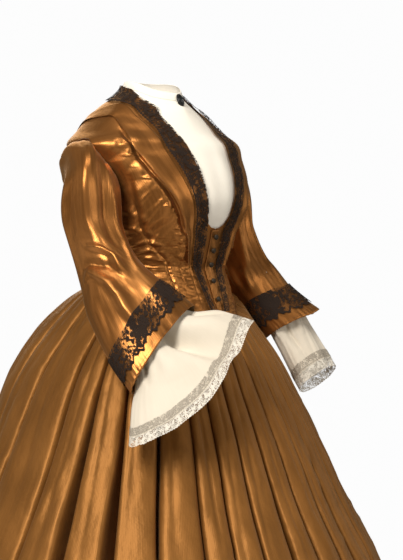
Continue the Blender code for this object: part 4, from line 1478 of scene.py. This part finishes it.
@dataclass
class Skirt:
    """The full skirt: breadths of satin in pleats, wide faces over narrow deep grooves."""

    bodice: Bodice
    finishes: Finishes
    centre: float = -40
    spring: float = 12
    waist_gap: float = 0.8
    cloth: float = 0.7
    rings: Points = (
        (-357, 118, 104, 90), (-366, 127, 108, 130), (-376, 136, 112, 172), (-392, 147, 118, 210),
        (-412, 157, 128, 244), (-440, 174, 145, 280), (-465, 190, 162, 306), (-510, 222, 190, 337),
        (-560, 250, 215, 364), (-650, 292, 260, 390), (-773, 350, 315, 425), (-893, 408, 378, 462),
        (-1150, 505, 480, 545), (-1395, 600, 565, 632),
    )
    pleat_widths: Sequence[float] = (9, 9, 9, 9, 12, 14, 14, 16, 17, 17, 18, 18, 18)
    groove_share: float = 0.036
    wide_grooves: Points = (
        (-7, 0.095), (-6, 0.095), (-4, 0.02), (-3, 0.03), (-2, 0.03), (-1, 0.07), (0, 0.06), (1, 0.08),
        (2, 0.09), (3, 0.07), (4, 0.06), (7, 0.07), (10, 0.05), (13, 0.04),
    )
    wall_share: float = 0.16
    wide_depth: float = 13.0
    levelled: tuple[float, float] = (700, 1000)
    depths: Points = ((0, 0.3), (22, 2.6), (75, 5.0), (200, 7.0), (620, 9.0), (1038, 12.0))
    groove_depths: Points = ((0, 1.0), (22, 7.0), (75, 15.0), (200, 24.0), (580, 34.0), (780, 22.0),
                             (1038, 9.0))
    breadths: Points = (
        ("skirt_front", -4, 4), ("skirt_side_front_left", 4, 8), ("skirt_side_back_left", 8, 11),
        ("skirt_back", 11, 15), ("skirt_side_back_right", -11, -8), ("skirt_side_front_right", -8, -4),
    )
    rows: int = 108
    pleat_columns: int = 26

    def edge(self, number: int) -> float:
        """The angle of a pleat's groove.

        Args:
            number: Its number from the centre front. Past half the pleats it is on the right.

        Returns:
            Degrees from the centre front towards the left.
        """
        half = len(self.pleat_widths)
        if number > half:
            return 360 - self.edge(2 * half - number)
        return math.copysign(sum(self.pleat_widths[:abs(number)]), number)

    def point(self, angle: Array, drop: Array) -> Array:
        """A place on the skirt's plain form.

        Args:
            angle: Degrees from the centre front towards the left.
            drop: Millimetres below the waist seam.

        Returns:
            The points.
        """
        top, hem = self.rings[0][0], self.rings[-1][0]
        seam = self.bodice.lower_edge(np.abs((angle + 180) % 360 - 180))[..., 0] - self.waist_gap
        height = seam - drop * (seam - hem) / (top - hem)
        start = self.bodice.torso.point(angle, seam)
        half_width, front, back = np.moveaxis(Curve(self.rings)(height), -1, 0)
        centre, power = np.full(half_width.shape, float(self.centre)), np.full(half_width.shape, 2.0)
        sizes = np.stack((half_width, centre, front, back, power, power), -1)
        x, y = Torso.ring(angle, sizes)
        share = np.minimum(1.0, drop / self.spring)
        return np.stack((start[..., 0] * (1 - share) + x * share, start[..., 1] * (1 - share) + y * share,
                         height), -1)

    def normal(self, angle: Array, drop: Array) -> Array:
        """The way out of the skirt.

        Args:
            angle: Degrees from the centre front towards the left.
            drop: Millimetres below the waist seam.

        Returns:
            A vector of length 1 for each place.
        """
        around = self.point(angle + 1, drop) - self.point(angle - 1, drop)
        down = self.point(angle, drop + 4) - self.point(angle, np.maximum(drop - 4, 0))
        out = np.cross(around, -down)
        return out / np.linalg.norm(out, axis=-1, keepdims=True)

    def groove(self, number: int, drop: Array) -> Array:
        """Half the width of a groove.

        Args:
            number: The groove's number, as in edge().
            drop: Millimetres below the waist seam.

        Returns:
            The half width, as a share of a pleat.
        """
        half = len(self.pleat_widths)
        number = number - 2 * half if number > half else number
        extra = sum(share for place, share in self.wide_grooves if place == number)
        uneven = 1 + 0.5 * Unevenness(64)(number * 3.7 + 50, drop / 260)
        return self.groove_share * uneven + extra * ramp(drop, 170, 460)

    def sway(self, number: int, drop: Array) -> Array:
        """How far a groove strays from its straight line, as a share of a pleat."""
        key = number % (2 * len(self.pleat_widths))
        return 0.13 * Unevenness(61)(key * 7.3 + 0.5, drop / 330) * ramp(drop, 30, 400)

    def pleat(self, number: int, places: Array, drop: Array) -> tuple[Array, Array]:
        """One pleat.

        Args:
            number: Its number, from the groove on its right as the wearer turns.
            places: The shares of its width to build.
            drop: The distances below the waist, as a column.

        Returns:
            The angles, and how far each place stands out.
        """
        wander, soft, fine = Unevenness(61), Unevenness(62), Unevenness(63)
        depth, slot = read_between(self.depths, drop), read_between(self.groove_depths, drop)
        start, end = self.edge(number), self.edge(number + 1)
        key, places = number % (2 * len(self.pleat_widths)), places[None]
        left, right = self.groove(number, drop), self.groove(number + 1, drop)
        low = np.clip(places / self.wall_share, 0, 1)
        high = np.clip((1 - places) / self.wall_share, 0, 1)
        face = np.clip((places - self.wall_share) / (1 - 2 * self.wall_share), 0, 1)
        across = left * low ** 0.45 + (1 - left - right) * face + right * (1 - high ** 0.45)
        slot = slot * (1 + self.wide_depth * np.where(places < 0.5, left, right))
        wall = np.minimum(low, high)
        crown = 1 - np.abs(2 * face - 1) ** 3.2
        tilt = 0.35 * wander(key * 5.1 + 20, drop / 700) * (2 * face - 1)
        slip = (self.sway(key, drop) * (1 - places) + self.sway(key + 1, drop) * places) * (end - start)
        fullness = 1 + 0.28 * wander(key * 3.1 + 40, drop / 420)
        lift = -slot * (1 - wall ** 1.3) + wall * depth * fullness * (0.25 + 0.7 * crown + tilt)
        place = 0.4 + 0.22 * wander(key * 5.7 + 9, drop / 480)
        tuck = np.exp(-(((face - place) / 0.085) ** 2)) * ramp(drop, 6, 60) * (1 - ramp(drop, 260, 620))
        lift = lift - tuck * wall * 0.35 * (0.75 * depth + 1.5)
        dents = crown * wall * ramp(drop, 60, 320) * 3.8 * soft(face * 1.9 + key * 5, drop / 110 + key)
        small = crown * wall * 1.5 * fine(face * 3.4 + key * 9, drop / 30) * ramp(drop, 40, 200)
        drag = 1.5 * fine(face * 2.2 + drop / 60 + key * 4, drop / 16)
        drag = drag * np.maximum(soft(key * 2.3, drop / 95), 0)
        at_edge = np.exp(-(((face - 0.9) / 0.1) ** 2)) * wall
        pucker = at_edge * 4.2 * np.maximum(fine(key * 2.7 + 3 + 0 * face, drop / 15), 0) ** 1.6
        pucker = pucker * ramp(drop, 70, 200) * (1 - ramp(drop, 700, 900)) * (key % 3 == 1)
        angle = start + (end - start) * across + slip
        return angle, lift + dents + small + crown * wall * drag + pucker

    def breadth(self, first: int, last: int) -> Array:
        """A breadth of the skirt.

        Args:
            first: The groove where it starts.
            last: The groove where it ends.

        Returns:
            Its points.
        """
        full = self.rings[0][0] - self.rings[-1][0]
        drop = full * np.linspace(0, 1, self.rows)[:, None] ** 1.5
        places = np.linspace(0, 1, self.pleat_columns + 1)
        parts = [self.pleat(number, places if number == last - 1 else places[:-1], drop)
                 for number in range(first, last)]
        angle = np.concatenate([part[0] for part in parts], axis=1)
        lift = np.concatenate([part[1] for part in parts], axis=1)
        drops = np.broadcast_to(drop, angle.shape)
        out = self.normal(angle, drops)
        out[..., 2] *= 1 - ramp(drops, *self.levelled)
        return self.point(angle, drops) + out * lift[..., None]

    def build(self) -> None:
        """Builds the breadths."""
        for name, first, last in self.breadths:
            Sheet(f"cloth_{name}", self.breadth(first, last), "satin", name, Held.GATHERED,
                  ["bodice_front_left", "bodice_front_right"], wall=self.cloth).build(
                      self.finishes.skirt_satin, self.finishes.lining)


@dataclass
class Buttons:
    """The buttons of the closing, and the oval one at the collar."""

    finishes: Finishes
    front_count: int = 5
    fullness: float = 1.1
    segments: int = 40
    profile_rows: int = 40
    rib_count: int = 10
    front_profile: Points = ((0.0, 1.0), (0.3, 0.93), (0.55, 0.75), (0.68, 0.55), (0.74, 0.5), (0.86, 0.56),
                             (0.97, 0.3), (1.0, 0.0), (0.8, -0.6), (0.0, -0.8))
    collar_profile: Points = ((0.0, 0.75), (0.12, 0.7), (0.2, 0.45), (0.27, 0.42), (0.36, 0.72), (0.46, 0.74),
                              (0.55, 0.4), (0.62, 0.4), (0.74, 0.85), (0.88, 0.9), (0.98, 0.4), (1.0, 0.0),
                              (0.85, -0.7), (0.0, -0.8))

    def turned(self, name: str, node: str, profile: Points, ribs: float,
               finish: bpy.types.Material) -> None:
        """A button turned from a profile, in its node's own place, size and tilt.

        Args:
            name: The piece's name.
            node: The node that it stands for.
            profile: Shares of its radius and of its thickness.
            ribs: How deep the radial ribs are, as a share of its thickness.
            finish: The material.
        """
        low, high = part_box(node)
        middle = (low + high) / 2
        points = np.array([vertex.co for vertex in bpy.data.objects[node].data.vertices], float)
        _, _, axes = np.linalg.svd(points - points.mean(axis=0), full_matrices=False)
        out = axes[2] * (1 if axes[2][1] < 0 else -1)
        right = np.array((1.0, 0.0, 0.0))
        up = np.cross(out, right)
        centred = points - np.array(middle)
        half = [np.abs(centred @ way).max() * self.fullness for way in (right, up, out)]
        rows = numbered(profile)(np.linspace(0, len(profile) - 1, self.profile_rows))
        turn = np.arange(self.segments) * math.tau / self.segments
        swell = np.sin(math.pi * np.clip(rows[:, 0], 0, 1))[:, None]
        rib = 1 + ribs * np.cos(turn * self.rib_count)[None] * swell
        ring = np.maximum(rows[:, 0], 0.002)[:, None]
        grid = (
            np.array(middle)
            + (ring * np.cos(turn))[..., None] * right * half[0]
            + (ring * np.sin(turn))[..., None] * up * half[1]
            + (rows[:, 1][:, None] * rib)[..., None] * out * half[2]
        )
        count, last = self.segments, (len(grid) - 1) * self.segments
        faces = [(start + j, start + count + j, start + count + (j + 1) % count, start + (j + 1) % count)
                 for start in range(0, last, count) for j in range(count)]
        faces += [tuple(range(count)), tuple(range(last + count - 1, last - 1, -1))]
        mesh = bpy.data.meshes.new(name)
        mesh.from_pydata([tuple(point) for row in grid for point in row], [], faces)
        mesh.shade_smooth()
        add_piece(mesh, [finish], node)
        LOG.info("%s on %s", name, node)

    def build(self) -> None:
        """Builds them all."""
        for number in range(1, self.front_count + 1):
            node = f"front_button_{number}"
            self.turned(f"covered_button_{number}", node, self.front_profile, 0.06,
                        self.finishes.covered)
        self.turned("oval_collar_button", "collar_button", self.collar_profile, 0.1,
                    self.finishes.jet)


@dataclass(frozen=True)
class Lamp:
    """A soft light. Its turn is from the camera towards the camera's left, in degrees."""

    name: str
    turn: float
    lift: float
    width: float
    height: float
    power: float
    distance: float = 3.0
    aim_drop: float = 0.0
    colour: Points = (1.0, 0.96, 0.9)


@dataclass
class Studio:
    """The camera at the photograph's angle, soft lights and a pale floor."""

    lamps: Sequence[Lamp] = (
        Lamp("key", 26, 32, 0.8, 1.6, 98.0),
        Lamp("side", 88, 16, 0.6, 2.2, 4.0, aim_drop=-0.3),
        Lamp("fill", -42, 14, 1.4, 1.6, 20.0),
        Lamp("overhead", 0, 74, 0.9, 0.9, 24.0),
        Lamp("rear", 168, 26, 1.5, 1.8, 24.0),
        Lamp("far side", -108, 18, 1.2, 1.8, 10.0),
    )
    room_colour: Points = (1.0, 0.97, 0.93, 1.0)
    room_strength: float = 0.12
    paper_colour: Points = (0.98, 0.98, 0.98, 1.0)

    azimuth: float = -48.0
    elevation: float = 0.5
    distance: float = 4.5
    aim: tuple[float, float, float] = (0.040, -0.085, -0.361)
    view_height: float = 1.064
    floor_radius: float = 2.3
    floor_gap: float = 0.004

    def build(self, hem: float) -> None:
        """Makes the camera, the lights, the world and the floor.

        Args:
            hem: The height of the dress's lowest point, in metres.
        """
        scene = bpy.context.scene
        turn, lift = math.radians(self.azimuth), math.radians(self.elevation)
        back = Vector((math.sin(turn) * math.cos(lift), -math.cos(turn) * math.cos(lift), math.sin(lift)))
        data = bpy.data.cameras.new("camera")
        data.sensor_fit = "VERTICAL"
        data.sensor_height = 24.0
        data.lens = data.sensor_height / 2 / (self.view_height / 2 / self.distance)
        camera = bpy.data.objects.new("camera", data)
        camera.location = Vector(self.aim) + back * self.distance
        camera.rotation_euler = (-back).to_track_quat("-Z", "Y").to_euler()
        scene.collection.objects.link(camera)
        scene.camera = camera
        self.surround(scene)
        across = back.cross(Vector((0, 0, 1))).normalized()
        for lamp in self.lamps:
            self.light(lamp, back, across)
        bpy.ops.mesh.primitive_circle_add(vertices=96, radius=self.floor_radius, fill_type="NGON",
                                          location=(0, 0, hem - self.floor_gap))
        floor = bpy.context.object
        floor.name = "floor"
        floor.data.materials.append(Floor().build())
        floor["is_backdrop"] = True

    def surround(self, scene: bpy.types.Scene) -> None:
        """Puts the dress in a dim room with a white backdrop behind it.

        Args:
            scene: The scene.
        """
        world = bpy.data.worlds.new("studio")
        world.use_nodes = True
        tree = world.node_tree
        room = tree.nodes["Background"]
        room.inputs[0].default_value = self.room_colour
        room.inputs[1].default_value = self.room_strength
        paper = tree.nodes.new("ShaderNodeBackground")
        paper.inputs[0].default_value = self.paper_colour
        seen, mix = tree.nodes.new("ShaderNodeLightPath"), tree.nodes.new("ShaderNodeMixShader")
        tree.links.new(seen.outputs["Is Camera Ray"], mix.inputs[0])
        tree.links.new(room.outputs[0], mix.inputs[1])
        tree.links.new(paper.outputs[0], mix.inputs[2])
        tree.links.new(mix.outputs[0], tree.nodes["World Output"].inputs[0])
        scene.world = world
        scene.view_settings.view_transform = "Standard"

    def light(self, lamp: "Lamp", back: Vector, across: Vector) -> None:
        """Adds a soft light that looks at the dress.

        Args:
            lamp: The light.
            back: The way from the dress to the camera.
            across: The way to the camera's left.
        """
        turn, lift = math.radians(lamp.turn), math.radians(lamp.lift)
        level = back * math.cos(turn) + across * math.sin(turn)
        way = level * math.cos(lift) + Vector((0, 0, math.sin(lift)))
        data = bpy.data.lights.new(lamp.name, "AREA")
        data.shape = "RECTANGLE"
        data.size, data.size_y, data.energy, data.color = lamp.width, lamp.height, lamp.power, lamp.colour
        piece = bpy.data.objects.new(lamp.name, data)
        target = Vector(self.aim) + Vector((0, 0, lamp.aim_drop))
        piece.location = target + way * lamp.distance
        piece.rotation_euler = (-way).to_track_quat("-Z", "Y").to_euler()
        bpy.context.scene.collection.objects.link(piece)


RIGHT_SLEEVE = (
    (-242, 3, -256, -170, -77, -256, 50), (-241, -16, -298, -169, -96, -296, 50),
    (-244, -37, -337, -166, -124, -330, 50), (-252, -58, -376, -156, -159, -361, 52),
    (-265, -82, -419, -145, -188, -381, 50), (-272, -116, -464, -138, -206, -394, 50),
    (-274, -153, -510, -133, -215, -402, 48), (-272, -198, -558, -130, -222, -408, 44),
)
LEFT_SLEEVE = (
    (197, 41, -256, 197, -63, -253, 45), (201, 28, -302, 201, -76, -288, 46),
    (204, 12, -350, 206, -92, -318, 48), (214, -14, -396, 212, -110, -342, 52),
    (238, -46, -444, 228, -128, -374, 55), (262, -66, -470, 246, -156, -404, 58),
)
RIGHT_UNDERSLEEVE = (
    (-226, -136, -432, -187, -151, -376, 30), (-238, -167, -480, -161, -189, -397, 30),
    (-253, -194, -536, -138, -220, -416, 28), (-275, -202, -584, -104, -254, -412, 38),
    (-298, -214, -625, -78, -287, -421, 50),
)
LEFT_UNDERSLEEVE = (
    (232, -62, -416, 224, -106, -376, 34), (252, -82, -456, 244, -134, -408, 42),
    (268, -108, -506, 256, -156, -454, 44), (284, -136, -562, 268, -192, -516, 46),
)
LEFT_SLEEVE_FALL = ((0, 36), (45, 40), (90, 26), (135, 8), (180, 0), (270, 0), (315, 14), (360, 36))
RIGHT_UNDERSLEEVE_FALL = (
    (0, 8), (30, 20), (60, 48), (90, 70), (120, 60), (150, 34), (180, 12), (220, 0), (330, 0), (360, 8),
)
FRONT_SEAMS = (
    Crease([(66, -282), (61, -345), (60, -405)], -0.7, 1.4),
    Crease([(44, -300), (40, -380), (36, -418)], -0.6, 1.4),
    Crease([(152, -168), (141, -222), (129, -262), (113, -293), (80, -331), (75, -400)], -3.0, 2.2),
    Crease([(150, -176), (134, -222), (122, -262)], 2.2, 6.0),
    Crease([(172, -140), (162, -200), (148, -256)], -10.0, 11.0),
    Crease([(112, -118), (106, -180), (92, -240)], -3.2, 5.0),
)
SIDE_DRAGS = (
    Crease([(46, -297), (62, -290), (84, -299)], 3.4, 4.2),
    Crease([(45, -311), (62, -305), (86, -316)], 3.0, 3.6),
    Crease([(48, -324), (66, -319), (90, -331)], 2.6, 3.6),
    Crease([(50, -337), (70, -336), (88, -346)], 2.2, 3.4),
    Crease([(58, -276), (74, -266), (92, -262)], 2.6, 5.0),
    Crease([(64, -250), (76, -236), (88, -222)], 2.4, 6.0),
)
RIGHT_FOLDS = (
    Crease([(-40, 7), (0, 6), (40, 6), (80, 6), (112, 8)], -9.0, 6.0),
    Crease([(104, 36), (150, 46), (190, 70)], 10.0, 34.0),
    Crease([(126, 12), (168, 24), (216, 42)], 23.0, 24.0),
    Crease([(96, 60), (104, 150), (98, 235), (106, 285)], 7.0, 17.0, 0.35),
    Crease([(132, 70), (142, 160), (146, 240)], -7.0, 18.0),
    Crease([(66, 62), (62, 150), (72, 240)], -7.5, 12.0),
    Crease([(52, 66), (40, 124), (38, 190), (60, 292)], 5.0, 7.0, 0.3),
    Crease([(20, 90), (18, 150), (26, 220)], -3.0, 9.0),
    Crease([(124, 262), (104, 268), (84, 276), (88, 318)], 12.0, 7.0, 0.2),
    Crease([(148, 300), (134, 300), (102, 306), (96, 322)], -6.0, 8.0, 0.2),
    Crease([(150, 318), (136, 312), (114, 344), (108, 374), (109, 402), (106, 440)], 13.0, 8.0, 0.3),
    Crease([(92, 350), (88, 400), (84, 440)], -4.0, 12.0),
    Crease([(70, 330), (62, 370), (64, 420)], 3.5, 9.0),
    Crease([(134, 360), (136, 410), (142, 470)], -4.0, 12.0),
    Crease([(172, 120), (178, 220), (170, 320)], 3.0, 15.0),
    Crease([(228, 80), (236, 180), (224, 300)], 4.0, 16.0),
    Crease([(-60, 120), (-48, 220), (-40, 330)], 3.5, 14.0),
)
LEFT_FOLDS = (
    Crease([(60, 36), (100, 50), (140, 60)], 8.0, 34.0),
    Crease([(-22, 60), (-42, 138), (-42, 175)], 6.0, 11.0, 0.3),
    Crease([(-2, 70), (-8, 170), (-12, 260)], -4.0, 10.0),
    Crease([(-84, 110), (-82, 160)], 5.0, 7.0),
    Crease([(-56, 130), (-64, 176)], 5.0, 7.0),
    Crease([(-70, 60), (-72, 100)], -4.0, 10.0),
    Crease([(14, 90), (16, 180), (30, 260)], 4.0, 12.0),
    Crease([(60, 80), (70, 180), (74, 260)], -4.0, 16.0),
    Crease([(110, 60), (118, 160), (108, 250)], 5.0, 17.0),
    Crease([(170, 70), (176, 150), (164, 220)], -4.0, 16.0),
    Crease([(220, 70), (224, 180)], 4.0, 15.0),
)
RIGHT_UNDER_FOLDS = (
    Crease([(84, 70), (92, 130), (76, 190), (62, 250)], -28.0, 14.0, 0.5),
    Crease([(112, 90), (110, 160), (98, 250)], 10.0, 12.0),
    Crease([(60, 90), (58, 150), (44, 220)], 8.0, 12.0),
    Crease([(150, 90), (146, 150), (138, 235)], -11.0, 7.0, 0.4),
    Crease([(128, 120), (126, 230)], 5.0, 8.0),
    Crease([(30, 100), (24, 190)], -7.0, 10.0, 0.3),
    Crease([(220, 90), (226, 180)], 6.0, 16.0),
)
LEFT_UNDER_FOLDS = (
    Crease([(-40, 60), (-44, 120), (-36, 170)], -9.0, 9.0, 0.4),
    Crease([(-84, 60), (-80, 130)], 7.0, 10.0),
    Crease([(-10, 50), (-6, 150)], 6.0, 9.0),
    Crease([(20, 50), (30, 140)], -6.0, 9.0, 0.3),
    Crease([(120, 50), (126, 140)], -4.0, 14.0),
)


def main() -> None:
    """Builds the dressed part and its studio."""
    logging.basicConfig(level=logging.INFO, format="%(message)s")
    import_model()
    solid_low, solid_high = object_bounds()
    finishes = Finishes.make()
    torso = Torso()
    bodice = Bodice(torso, finishes)
    bodice.build()
    Chemisette(torso, finishes).build()
    Sleeve(bodice, finishes, Side.LEFT, LEFT_SLEEVE, LEFT_UNDERSLEEVE, LEFT_FOLDS, LEFT_UNDER_FOLDS,
           fall=LEFT_SLEEVE_FALL).build()
    Sleeve(bodice, finishes, Side.RIGHT, RIGHT_SLEEVE, RIGHT_UNDERSLEEVE, RIGHT_FOLDS, RIGHT_UNDER_FOLDS,
           under_fall=RIGHT_UNDERSLEEVE_FALL).build()
    Skirt(bodice, finishes).build()
    Buttons(finishes).build()
    Studio().build(solid_low.z)


if __name__ == "__main__":
    main()
